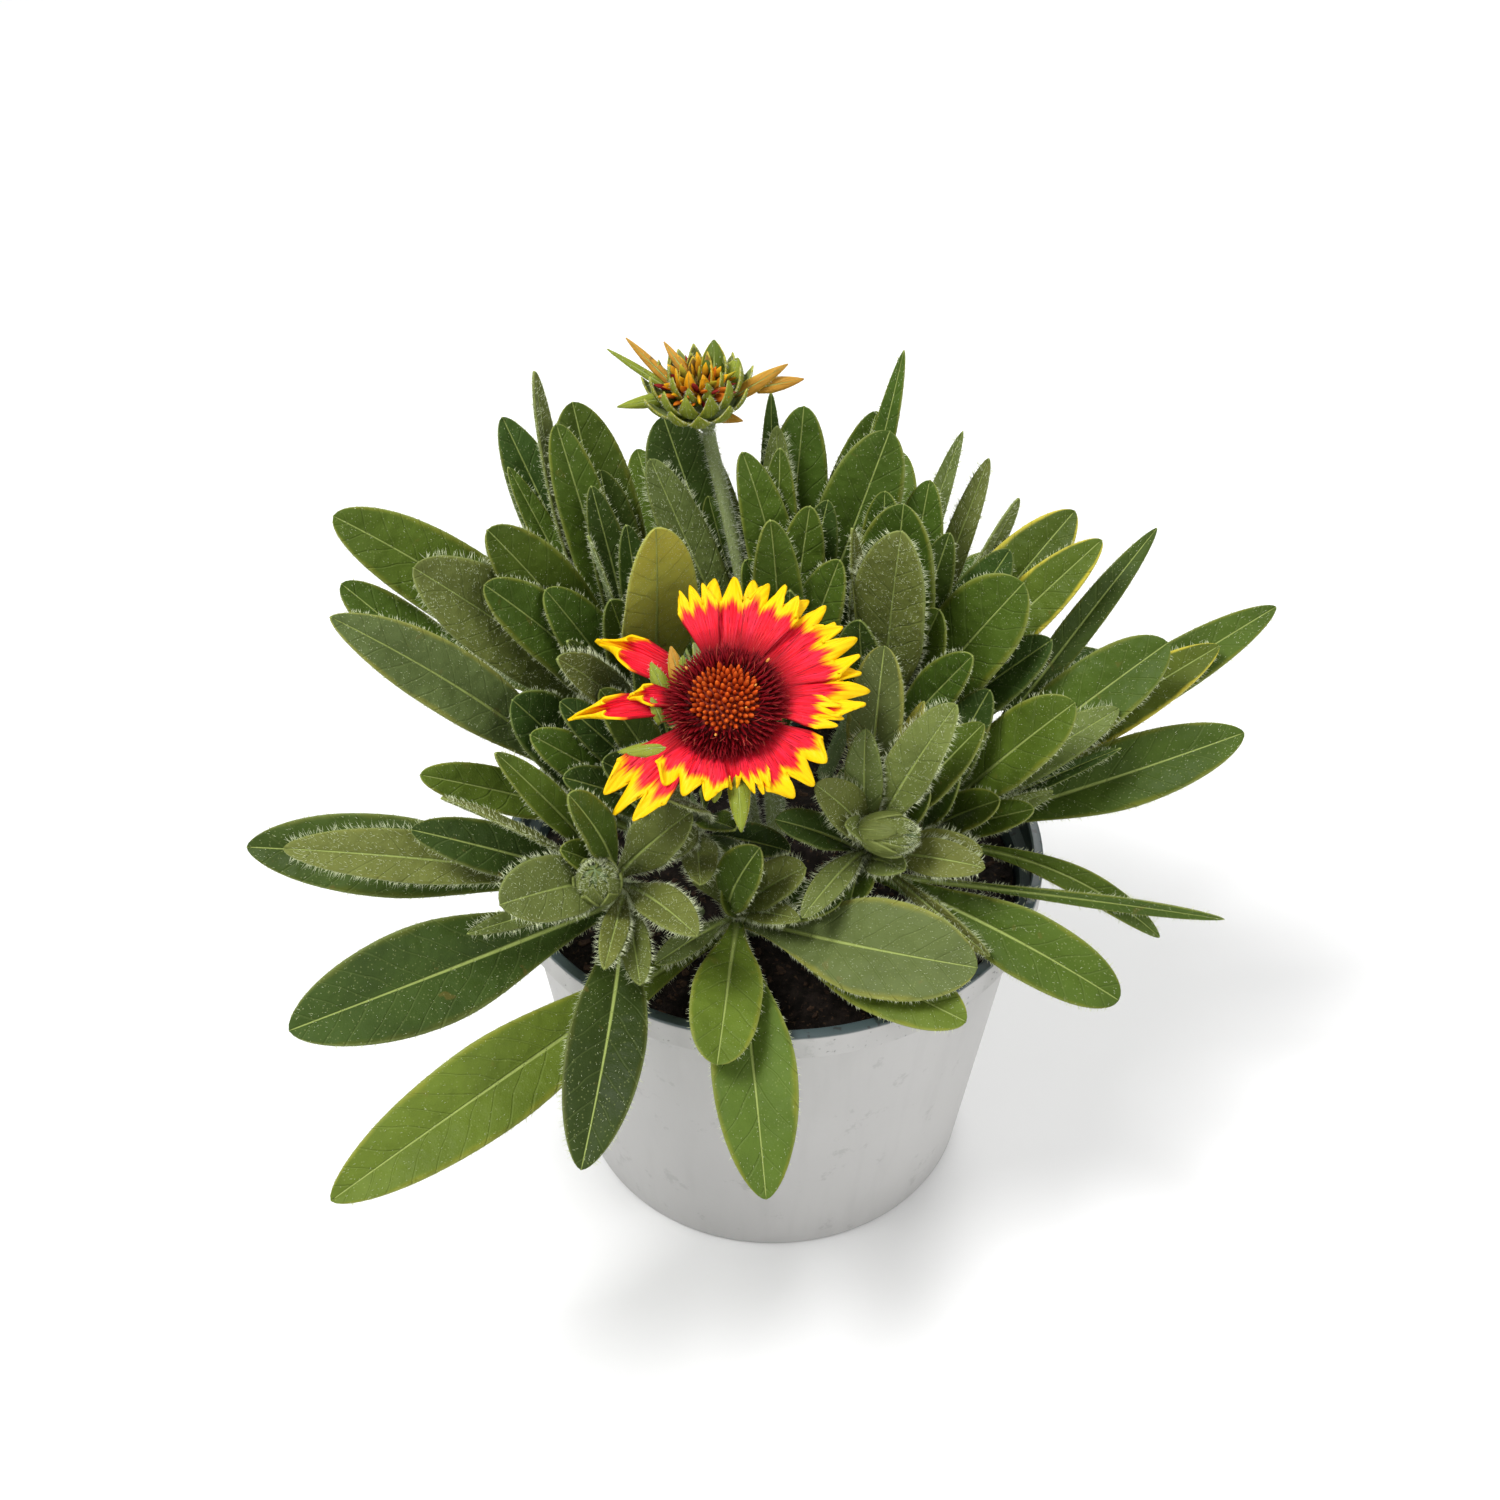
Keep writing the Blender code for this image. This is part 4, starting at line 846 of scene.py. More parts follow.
class Recipe:
    """The nodes that mix the look of one material, or of a group that materials share."""

    def __init__(self, tree):
        self.tree = tree

    def feed(self, socket, value):
        """Sets a socket to a number or a colour, or links another node's output to it."""
        if isinstance(value, tuple):
            full = len(socket.default_value) == len(value)
            socket.default_value = value if full else (*value, 1.0)
        elif isinstance(value, (int, float)):
            socket.default_value = value
        else:
            self.tree.links.new(value, socket)

    def add(self, kind, *inputs, **settings):
        """A new node with its settings; each input is given as its name and what feeds it."""
        made = self.tree.nodes.new("ShaderNode" + kind)
        for key, value in settings.items():
            setattr(made, key, value)
        for key, value in inputs:
            self.feed(made.inputs[key], value)
        return made

    def maths(self, operation, *values):
        return self.add("Math", *enumerate(values), operation=operation).outputs[0]

    def times(self, first, second):
        return self.maths("MULTIPLY", first, second)

    def plus(self, first, second):
        return self.maths("ADD", first, second)

    def size(self, value):
        return self.maths("ABSOLUTE", value)

    def ramp(self, value, low, high, to_low=0.0, to_high=1.0):
        """Maps value smoothly from low..high to to_low..to_high."""
        return self.add("MapRange", ("Value", value), ("From Min", low), ("From Max", high),
                        ("To Min", to_low), ("To Max", to_high),
                        interpolation_type="SMOOTHSTEP").outputs[0]

    def mix(self, factor, first, second, blend="MIX"):
        return self.add("Mix", (0, factor), (6, first), (7, second), data_type="RGBA",
                        blend_type=blend, clamp_factor=True).outputs[2]

    def deepen(self, tint, share):
        """A tint mixed, by a share, with its own darker self."""
        return self.mix(share, tint, self.mix(1.0, tint, tint, "MULTIPLY"))

    def place(self):
        return self.add("TexCoord").outputs["Object"]

    def noise(self, scale, detail=3.0, coords=None, roughness=0.5):
        """Noise over the object's own coordinates, in steps per metre."""
        coords = self.place() if coords is None else coords
        return self.add("TexNoise", ("Scale", scale), ("Detail", detail),
                        ("Roughness", roughness), ("Vector", coords)).outputs[0]

    def apart(self, vector):
        return self.add("SeparateXYZ", (0, vector)).outputs

    def field(self, name):
        """The three numbers stored on the mesh under name."""
        return self.apart(self.add("Attribute", attribute_name=name).outputs["Vector"])

    def tint(self, name):
        return self.add("Attribute", attribute_name=name).outputs["Color"]

    def bump(self, height, strength, distance):
        return self.add("Bump", ("Strength", strength), ("Distance", distance),
                        ("Height", height)).outputs[0]

    def grain(self, blotch_scale, speckle_scale):
        """The shared grain at this material's own scales."""
        return self.add("Group", ("Blotch scale", blotch_scale),
                        ("Speckle scale", speckle_scale), node_tree=grain_group()).outputs


class Skin(Recipe):
    """A new material: its Principled shader and the nodes that feed it."""

    def __init__(self, name):
        self.material = bpy.data.materials.new(name)
        self.material.use_nodes = True
        super().__init__(self.material.node_tree)
        self.shader = self.tree.nodes["Principled BSDF"].inputs

    def finish(self, colour, roughness, gloss=None, normal=None):
        """Feeds the shader and gives back the material."""
        for name, value in (("Base Color", colour), ("Roughness", roughness),
                            ("Specular IOR Level", gloss), ("Normal", normal)):
            if value is not None:
                self.feed(self.shader[name], value)
        return self.material


def grain_group():
    """Shared group: soft blotches, fine speckle and a bump height for living surfaces."""
    name = "living_grain"
    if name in bpy.data.node_groups:
        return bpy.data.node_groups[name]
    group = bpy.data.node_groups.new(name, "ShaderNodeTree")
    for label, start in (("Blotch scale", 60.0), ("Speckle scale", 900.0)):
        socket = group.interface.new_socket(label, in_out="INPUT", socket_type="NodeSocketFloat")
        socket.default_value = start
    for label in ("Blotch", "Speckle", "Height"):
        group.interface.new_socket(label, in_out="OUTPUT", socket_type="NodeSocketFloat")
    scales = group.nodes.new("NodeGroupInput").outputs
    result = group.nodes.new("NodeGroupOutput").inputs
    recipe = Recipe(group)
    coords = recipe.place()
    dots = recipe.add("TexVoronoi", ("Vector", coords), ("Scale", scales["Speckle scale"]))
    speckle = recipe.ramp(dots.outputs["Distance"], 0.08, 0.27, 1.0, 0.0)
    height = recipe.plus(recipe.times(speckle, 0.5), recipe.noise(2600.0, 2.0, coords))
    recipe.feed(result["Blotch"], recipe.noise(scales["Blotch scale"], 4.0, coords))
    recipe.feed(result["Speckle"], speckle)
    recipe.feed(result["Height"], height)
    return group


def vein_masks(skin, across, along, share):
    """Midrib and side veins of a leaf, from the distances across and along it in mm."""
    away = skin.size(across)
    half = skin.ramp(share, 0.0, 0.95, 1.05, 0.28)
    rib = skin.ramp(skin.maths("DIVIDE", away, half), 0.35, 1.0, 1.0, 0.0)
    bent = skin.plus(skin.times(away, -1.25), skin.times(skin.noise(90.0, 1.0), 5.0))
    run = skin.times(skin.plus(along, bent), 2 * math.pi / VEIN_SPACING)
    return rib, skin.ramp(skin.maths("SINE", run), 0.9, 1.0)


def leaf_material(name, underside=False):
    """Hairy leaf skin: tint of the leaf, pale midrib, side veins, speckle, margin and blotches."""
    skin = Skin(name)
    mix, times, ramp = skin.mix, skin.times, skin.ramp
    share, across, along = skin.field("leaf_place")
    gold, age, sided = skin.field("leaf_trim")
    grain = skin.grain(55.0, 1150.0)
    rib, side = vein_masks(skin, across, along, share)
    tint = skin.tint("leaf_tint")
    colour = mix(ramp(grain["Blotch"], 0.32, 0.66), skin.deepen(tint, 0.3), tint)
    colour = mix(times(grain["Speckle"], 0.26), colour, (0.4, 0.45, 0.17))
    colour = mix(times(side, 0.07), colour, (0.3, 0.38, 0.12))
    colour = mix(times(rib, 0.8), colour, (0.36, 0.44, 0.12))
    reach = skin.plus(skin.size(sided), times(skin.noise(130.0, 3.0), 0.3))
    colour = mix(times(ramp(reach, 0.98, 1.16), gold), colour, (0.6, 0.5, 0.04))
    line = ramp(skin.size(sided), 0.93, 0.99)
    colour = mix(times(line, 0.22), colour, (0.38, 0.47, 0.17))
    spots = ramp(skin.noise(210.0, 2.0), 0.7, 0.76)
    colour = mix(times(spots, age), colour, (0.2, 0.12, 0.03))
    if underside:
        colour = mix(0.45, colour, (0.3, 0.37, 0.2))
    sign = 1.0 if underside else -1.0
    relief = skin.plus(times(side, 0.35 * sign), times(rib, 0.8 * sign))
    relief = skin.plus(relief, times(grain["Height"], 0.25))
    relief = skin.plus(relief, times(skin.noise(260.0, 1.0), 1.6))
    return skin.finish(colour, ramp(grain["Blotch"], 0.2, 0.8, 0.46, 0.62), 0.16,
                       skin.bump(relief, 0.7, 0.0007))


def hair_material(name, colour):
    """Pale hairs, their tone uneven."""
    skin = Skin(name)
    pale = tuple(min(1.0, c * 1.25) for c in colour)
    return skin.finish(skin.mix(skin.noise(300.0, 2.0), colour, pale), 0.45, 0.4)


def stem_material(name, base, tip):
    """Hairy green stem skin, its tone uneven."""
    skin = Skin(name)
    grain = skin.grain(90.0, 1200.0)
    colour = skin.mix(skin.times(grain["Speckle"], 0.3), skin.mix(grain["Blotch"], base, tip),
                      (0.45, 0.52, 0.3))
    return skin.finish(colour, skin.ramp(grain["Blotch"], 0.2, 0.8, 0.42, 0.6), None,
                       skin.bump(grain["Height"], 0.5, 0.0004))


def petal_material(red, yellow):
    """Ray skin: maroon foot, crimson body with dark streaks, ragged orange line, yellow lobes."""
    skin = Skin("ray_skin")
    mix, times, ramp = skin.mix, skin.times, skin.ramp
    share, sided, seed = skin.field("petal_place")
    coords = skin.add("CombineXYZ", (0, times(sided, 5.5)), (1, times(share, 0.9)),
                      (2, seed)).outputs[0]
    streak = skin.noise(2.2, 3.0, coords, 0.6)
    fine = skin.noise(6.5, 2.0, coords, 0.6)
    lobes = skin.maths("COSINE", times(sided, 9.6))
    border = skin.plus(skin.plus(share, times(lobes, -0.05)),
                       ramp(streak, 0.25, 0.75, -0.07, 0.07))
    # deep: dark red for the streaks and the maroon foot, also used as painted shade along each
    # ray's edges.
    deep = tuple(c * 0.3 for c in red)
    pink = (red[0] * 1.02, red[1] + 0.016, red[2] + 0.045)
    body = mix(ramp(streak, 0.35, 0.7), red, pink)
    body = mix(ramp(fine, 0.5, 0.64, 0.0, 0.8), body, deep)
    body = mix(ramp(share, 0.08, 0.42, 0.85, 0.0), body, deep)
    # Painted shade: each ray darkens towards its two edges, where it meets or overlaps its
    # neighbours.
    body = mix(ramp(skin.size(sided), 0.86, 1.0, 0.0, 0.75), body, deep)
    colour = mix(ramp(border, 0.57, 0.64), body, (0.86, 0.19, 0.005))
    tip = mix(ramp(fine, 0.45, 0.8, 0.0, 0.35), yellow, (0.93, 0.46, 0.004))
    colour = mix(ramp(border, 0.62, 0.72), colour, tip)
    ridge = skin.maths("COSINE", times(sided, 44.0))
    height = skin.plus(times(ridge, 0.4), fine)
    return skin.finish(colour, ramp(fine, 0.3, 0.7, 0.36, 0.52), 0.12,
                       skin.bump(height, 0.45, 0.0003))


def floret_material(name):
    """Floret skin: a stored tint, darker low down, with fine grain."""
    skin = Skin(name)
    tint = skin.tint("floret_tint")
    grain = skin.grain(400.0, 2400.0)
    colour = skin.mix(skin.ramp(grain["Blotch"], 0.3, 0.7), skin.deepen(tint, 0.5), tint)
    return skin.finish(colour, skin.ramp(grain["Blotch"], 0.2, 0.8, 0.45, 0.65), 0.12,
                       skin.bump(grain["Height"], 0.4, 0.0003))


def outside_mask(skin, x, y, z):
    """One on the pot's outer face, nought on its lip and inside."""
    across = skin.maths("SQRT", skin.plus(skin.times(x, x), skin.times(y, y)))
    under = POT_HEIGHT - BAND_HEIGHT
    slope = (RIM_RADIUS - BAND_STEP - WALL_STEP - FOOT_RADIUS) / (under - 2.2)
    wall = skin.plus(skin.times(z, slope), (FOOT_RADIUS - WALL / 2 - 1.2 * slope) * MM)
    wall = skin.plus(wall, skin.ramp(z, (under - 0.7) * MM, (under + 0.1) * MM, 0.0, 0.0022))
    outer = skin.ramp(skin.maths("SUBTRACT", across, wall), -0.0002, 0.0003)
    top = skin.ramp(z, (POT_HEIGHT - 1.1) * MM, (POT_HEIGHT - 0.45) * MM, 1.0, 0.0)
    return skin.times(outer, top)


def pot_material(grey, inside):
    """Light grey plastic with streaks and rubbed specks outside; dark slate lip and inside."""
    skin = Skin("pot_skin")
    mix, times, ramp = skin.mix, skin.times, skin.ramp
    coords = skin.place()
    x, y, z = skin.apart(coords)
    mist = skin.noise(16.0, 3.0)
    stretch = skin.add("Mapping", ("Vector", coords), ("Scale", (220.0, 220.0, 7.0)))
    streaks = skin.noise(1.0, 4.0, stretch.outputs[0])
    light = tuple(min(1.0, c * 1.1) for c in grey)
    shade = tuple(c * 0.84 for c in grey)
    face = mix(ramp(streaks, 0.45, 0.75, 0.0, 0.35), mix(mist, shade, light), shade)
    dust = ramp(skin.noise(750.0, 2.0), 0.64, 0.72)
    near_lip = ramp(z, (POT_HEIGHT - 15) * MM, (POT_HEIGHT - 3) * MM)
    scuff = ramp(skin.noise(120.0, 5.0, None, 0.7), 0.6, 0.68)
    worn = skin.maths("MAXIMUM", times(dust, near_lip), times(scuff, 0.3))
    face = mix(times(worn, 0.75), face, (0.16, 0.16, 0.15))
    slate = mix(skin.noise(60.0, 3.0), inside, tuple(c * 1.9 for c in inside))
    crumbs = ramp(skin.noise(520.0, 3.0), 0.6, 0.66)
    slate = mix(times(crumbs, 0.6), slate, (0.012, 0.008, 0.006))
    height = skin.plus(skin.noise(900.0, 2.0), times(streaks, 0.6))
    return skin.finish(mix(outside_mask(skin, x, y, z), slate, face),
                       ramp(mist, 0.2, 0.8, 0.38, 0.55), None, skin.bump(height, 0.25, 0.0002))


def soil_material(name, base, light):
    """Damp peat: near-black crumbs with brown fibres."""
    skin = Skin(name)
    crumbs = skin.noise(420.0, 6.0, None, 0.7)
    fibres = skin.ramp(skin.noise(900.0, 3.0), 0.6, 0.72)
    colour = skin.mix(skin.ramp(crumbs, 0.35, 0.7), base, light)
    colour = skin.mix(skin.times(fibres, 0.5), colour, (0.11, 0.065, 0.035))
    return skin.finish(colour, skin.ramp(crumbs, 0.3, 0.8, 0.95, 0.65), 0.12,
                       skin.bump(crumbs, 0.9, 0.0012))


def start_ring(ring, sides, scale):
    """A filled circle, open for edits, to be drawn out ring by ring."""
    radius, height = ring
    obj = primitive(bpy.ops.mesh.primitive_circle_add, vertices=sides, radius=radius * scale,
                    fill_type="NGON", location=(0, 0, height * scale))
    bpy.ops.object.transform_apply(location=True, rotation=True, scale=True)
    bpy.ops.object.mode_set(mode="EDIT")
    return obj


def draw_out(extrude, rings, scale):
    """Draws the selection out from ring to ring, each a (radius, height)."""
    for (radius, height), (wide, high) in zip(rings, rings[1:]):
        extrude(TRANSFORM_OT_translate={"value": (0, 0, (high - height) * scale)})
        grow = wide / radius
        bpy.ops.transform.resize(value=(grow, grow, 1), center_override=(0, 0, high * scale))


def end_edit(obj, name):
    """Turns the faces outward and closes the edit."""
    bpy.ops.mesh.select_all(action="SELECT")
    bpy.ops.mesh.normals_make_consistent(inside=False)
    bpy.ops.object.mode_set(mode="OBJECT")
    obj.name = name
    obj.data.name = name
    return obj


def turned(name, profile, sides):
    """A round piece drawn out of a circle, ring by ring, along a profile of (radius, height)."""
    obj = start_ring(profile[0], sides, MM)
    bpy.ops.mesh.select_mode(type="EDGE")
    bpy.ops.mesh.select_all(action="SELECT")
    bpy.ops.mesh.region_to_loop()
    draw_out(bpy.ops.mesh.extrude_edges_move, profile, MM)
    bpy.ops.mesh.edge_face_add()
    return end_edit(obj, name)


def pot_profile():
    """Outline of the pot from the underside's middle, up the outside and down the inside."""
    under = POT_HEIGHT - BAND_HEIGHT
    shoulder = RIM_RADIUS - BAND_STEP
    inner = shoulder - WALL
    points = [(6.0, 0), (FOOT_RADIUS - 1.2, 0), (FOOT_RADIUS - 0.35, 0.35), (FOOT_RADIUS, 1.2)]
    low, high = Vector((FOOT_RADIUS, 1.2)), Vector((shoulder - WALL_STEP, under - 1.0))
    points += [tuple(low.lerp(high, i / 8)) for i in range(1, 9)]
    points += [(shoulder - 0.5, under - 0.25), (RIM_RADIUS - 0.5, under + 0.2),
               (RIM_RADIUS, under + 0.7), (RIM_RADIUS, under + 2.4),
               (RIM_RADIUS, POT_HEIGHT - 2.0), (RIM_RADIUS, POT_HEIGHT - 0.7),
               (RIM_RADIUS - 0.2, POT_HEIGHT - 0.2), (RIM_RADIUS - 0.7, POT_HEIGHT),
               (inner + 0.4, POT_HEIGHT), (inner, POT_HEIGHT - 0.4), (inner - 0.2, under + 0.8),
               (shoulder - WALL_STEP - WALL, under - 1.2), (FOOT_RADIUS - WALL, FLOOR + 1.0),
               (FOOT_RADIUS - WALL - 1.0, FLOOR), (6.0, FLOOR)]
    return points


def rib_rim(obj):
    """Fine upright ribs round the band of the rim."""
    low = (POT_HEIGHT - BAND_HEIGHT + 1.5) * MM
    high = (POT_HEIGHT - 1.5) * MM
    for vert in obj.data.vertices:
        across = math.hypot(vert.co.x, vert.co.y)
        if across > (RIM_RADIUS - 0.3) * MM and low < vert.co.z < high:
            turn = round(math.atan2(vert.co.y, vert.co.x) / (2 * math.pi) * POT_SIDES)
            if turn % 3 == 0:
                vert.co.x *= 0.9945
                vert.co.y *= 0.9945


def cut_drains(obj):
    """Round drain holes through the floor."""
    cutters = []
    for i in range(DRAIN_HOLES):
        angle = 2 * math.pi * (i + 0.5) / DRAIN_HOLES
        cutters.append(primitive(
            bpy.ops.mesh.primitive_cylinder_add, vertices=32, radius=DRAIN_RADIUS * MM, depth=0.008,
            location=(DRAIN_RING * MM * math.cos(angle), DRAIN_RING * MM * math.sin(angle), 0.001)))
    cutter = join("drain_cutter", cutters)
    step = obj.modifiers.new("drains", "BOOLEAN")
    step.operation = "DIFFERENCE"
    step.object = cutter
    step.solver = "MANIFOLD"
    apply_all(obj)
    bpy.data.objects.remove(cutter, do_unlink=True)


class PLANT_OT_pot(bpy.types.Operator):
    """Builds the round nursery pot with its ribbed rim and drain holes"""

    bl_idname = "plant.pot"
    bl_label = "Pot"
    bl_options = {"REGISTER", "UNDO"}

    def execute(self, context):
        colours = context.scene.plant_colours
        pot = turned("pot_shell", pot_profile(), POT_SIDES)
        rib_rim(pot)
        cut_drains(pot)
        select_only(pot)
        bpy.ops.object.shade_smooth_by_angle(angle=math.radians(38))
        paint(pot, pot_material(tuple(colours.pot_skin), tuple(colours.pot_inside)))
        place_piece(pot, "pot_plastic", "pot")
        return {"FINISHED"}


def soil_lumps(x, y):
    """Fine unevenness of the potting mix, in mm."""
    return 0.9 * noise.fractal(Vector((x * 0.16, y * 0.16, 3.1)), 0.7, 2.1, 5)


def make_soil():
    """The mass of potting mix: a turned body whose top is then roughened."""
    low = FLOOR + SOIL_GAP
    rim = inner_radius(SOIL_TOP) - SOIL_GAP - 0.1
    profile = [(6.0, low), (inner_radius(low + 1) - 2.0, low),
               (inner_radius(low + 2.5) - SOIL_GAP, low + 2.5), (rim - 0.8, SOIL_TOP - 6),
               (rim, SOIL_TOP - 1.0)]
    profile += [(rim * (1 - i / 46) + 0.6, SOIL_TOP) for i in range(1, 46)]
    soil = turned("soil_body", profile, 150)
    for vert in soil.data.vertices:
        if vert.co.z > (SOIL_TOP - 0.5) * MM:
            x, y = vert.co.x / MM, vert.co.y / MM
            away = math.hypot(x, y) / rim
            lumps = soil_lumps(x, y) * min(1.0, (1.02 - away) * 8)
            vert.co.z = (soil_height(x, y) + lumps) * MM
    return soil


def bark_shapes():
    """Three kinds of bit: a chip, a crumb and a fibre, each modelled once."""
    shapes = []
    for kind, size in enumerate(((2.3, 1.3, 0.55), (1.0, 0.8, 0.7), (3.2, 0.34, 0.3))):
        obj = primitive(bpy.ops.mesh.primitive_ico_sphere_add,
                        subdivisions=2 if kind < 2 else 1, radius=0.5)
        for vert in obj.data.vertices:
            rough = noise.noise(vert.co * 3.1 + Vector((kind * 7.0, 0, 0)))
            vert.co *= 1.0 + 0.55 * rough
            vert.co = Vector((vert.co.x * size[0], vert.co.y * size[1], vert.co.z * size[2]))
        shapes.append(obj)
    return shapes


def make_bark(count):
    """Bits scattered over the potting mix, more of them near the edge, where they show."""
    rng = random.Random(41)
    shapes = bark_shapes()
    rim = inner_radius(SOIL_TOP) - 3.0
    verts, faces = [], []
    for _ in range(count):
        shape = shapes[rng.choice((0, 0, 1, 1, 1, 2))]
        away = rim * math.sqrt(rng.uniform(0.02, 1.0))
        angle = rng.uniform(0, 2 * math.pi)
        x, y = away * math.cos(angle), away * math.sin(angle)
        z = soil_height(x, y) + soil_lumps(x, y)
        size = rng.uniform(0.6, 1.7)
        turn = Matrix.Rotation(rng.uniform(0, 6.28), 3, "Z") @ Matrix.Rotation(
            rng.uniform(-0.5, 0.5), 3, "X")
        start = len(verts)
        verts += [Vector((x, y, z)) + turn @ (v.co * size) for v in shape.data.vertices]
        faces += [tuple(start + i for i in p.vertices) for p in shape.data.polygons]
    for shape in shapes:
        bpy.data.objects.remove(shape, do_unlink=True)
    return new_object("soil_bark", verts, faces, smooth=False)


class PLANT_OT_soil(bpy.types.Operator):
    """Fills the pot with dark potting mix and scatters bark bits on it"""

    bl_idname = "plant.soil"
    bl_label = "Potting mix"
    bl_options = {"REGISTER", "UNDO"}

    def execute(self, context):
        soil = make_soil()
        select_only(soil)
        bpy.ops.object.shade_smooth()
        paint(soil, soil_material("damp_peat", (0.004, 0.003, 0.002), (0.018, 0.012, 0.009)))
        place_piece(soil, "potting_mix", "potting_mix")
        bark = make_bark(context.scene.plant_sizes.bark_bits)
        paint(bark, soil_material("bark_bits", (0.02, 0.012, 0.008), (0.07, 0.04, 0.024)))
        place_piece(bark, "potting_mix")
        return {"FINISHED"}


def leaf_lines(way, ts):
    """Points and axes of a leaf's midrib at each share ts of its length, in mm."""
    root, tip, width, rise, sway, roll, blunt, seed = way
    bend, out = arch(root, tip, rise, sway)
    root, bend, tip = np.array(root), np.array(bend), np.array(tip)
    t = np.asarray(ts, dtype=float)[:, None]
    point = root * (1 - t) ** 2 + bend * (2 * t * (1 - t)) + tip * t ** 2
    along = (bend - root) * (1 - t) + (tip - bend) * t
    along /= np.linalg.norm(along, axis=1)[:, None]
    want = np.array(outlook(out))
    normal = want - along * (along @ want)[:, None]
    normal /= np.linalg.norm(normal, axis=1)[:, None]
    angle = math.radians(roll) * np.minimum(1.0, t * 2.5)
    normal = normal * np.cos(angle) + np.cross(along, normal) * np.sin(angle)
    return point, along, normal, np.cross(along, normal)


def leaf_half(way, ts):
    """Half-width of the blade at each share ts of its length, a little fuller than the solid."""
    width, blunt = way[2] * FULLNESS, way[6]
    half = [width / 2 * leaf_breadth(min(max(t, 0.0), 1.0), blunt) for t in ts]
    return np.maximum(half, np.where(np.asarray(ts) < 0.5, 0.8, 0.04))


def leaf_points(way, s, t):
    """Points on a leaf's blade and the blade's axes there; s runs from -1 to 1 across it."""
    rng = random.Random(way[7])
    phase = rng.uniform(0, 2 * math.pi)
    tall = rng.uniform(0, 2 * math.pi)
    point, along, normal, side = leaf_lines(way, t)
    half = leaf_half(way, t)
    away = np.abs(s)
    lift = half * FOLD * away ** 1.1
    wave = 0.07 * half * np.sin(9.0 * t + phase)
    ripple = 0.05 * half * np.sin(19.0 * t + tall + 1.5 * s) * away ** 3 * (1 - t ** 6)
    groove = -0.28 * np.exp(-(s * half / 0.55) ** 2) * (1 - t)
    pillow = 0.05 * half * np.sin(math.pi * away)
    height = lift - wave * s + ripple + groove + pillow
    place = point + side * (s * half)[:, None] + normal * height[:, None]
    return place, along, normal, side, half


def dress_leaf(mesh, look, tint, s, t, across, along):
    """Stores what the leaf material reads: place, trim and tint."""
    gold, age = LEAF_LOOKS[look][1:3]
    spread(mesh, "leaf_place", np.stack([t, across, along], axis=1))
    spread(mesh, "leaf_trim", np.stack([np.full_like(t, gold), np.full_like(t, age), s], axis=1))
    stain(mesh, "leaf_tint", np.tile((*tint, 1.0), len(t)))


def shape_leaf(grid, way, look, name):
    """One leaf: a copy of the grid bent along its midrib, its tint a little its own."""
    template, s, t = grid
    mesh = template.data.copy()
    t = 1 - (1 - t) ** 1.6
    place, along, normal, side, half = leaf_points(way, s, t)
    mesh.vertices.foreach_set("co", (place * MM).ravel())
    rng = random.Random(way[7] * 7 + 3)
    bright = rng.uniform(0.86, 1.16)
    warm = rng.uniform(0.92, 1.1)
    red, green, blue = LEAF_LOOKS[look][0]
    tint = (red * bright * warm, green * bright, blue * bright / warm)
    dress_leaf(mesh, look, tint, s, t, s * half, t * (way[1] - way[0]).length)
    mesh.update()
    return add_object(name, mesh)


def thicken(obj, thickness):
    """Gives a sheet its thickness, with the second material on its underside."""
    step = obj.modifiers.new("thickness", "SOLIDIFY")
    step.thickness = thickness
    step.offset = 0.0
    step.material_offset = 1
    step.material_offset_rim = 0
    apply_all(obj)
    bpy.ops.object.shade_smooth()


def bract_half(width, t):
    """Half-width of a bract at t from root (0) to tip (1)."""
    return width / 2 * np.interp(t, (0, 0.3, 0.6, 0.85, 1), (0.7, 1, 0.8, 0.4, 0.03))


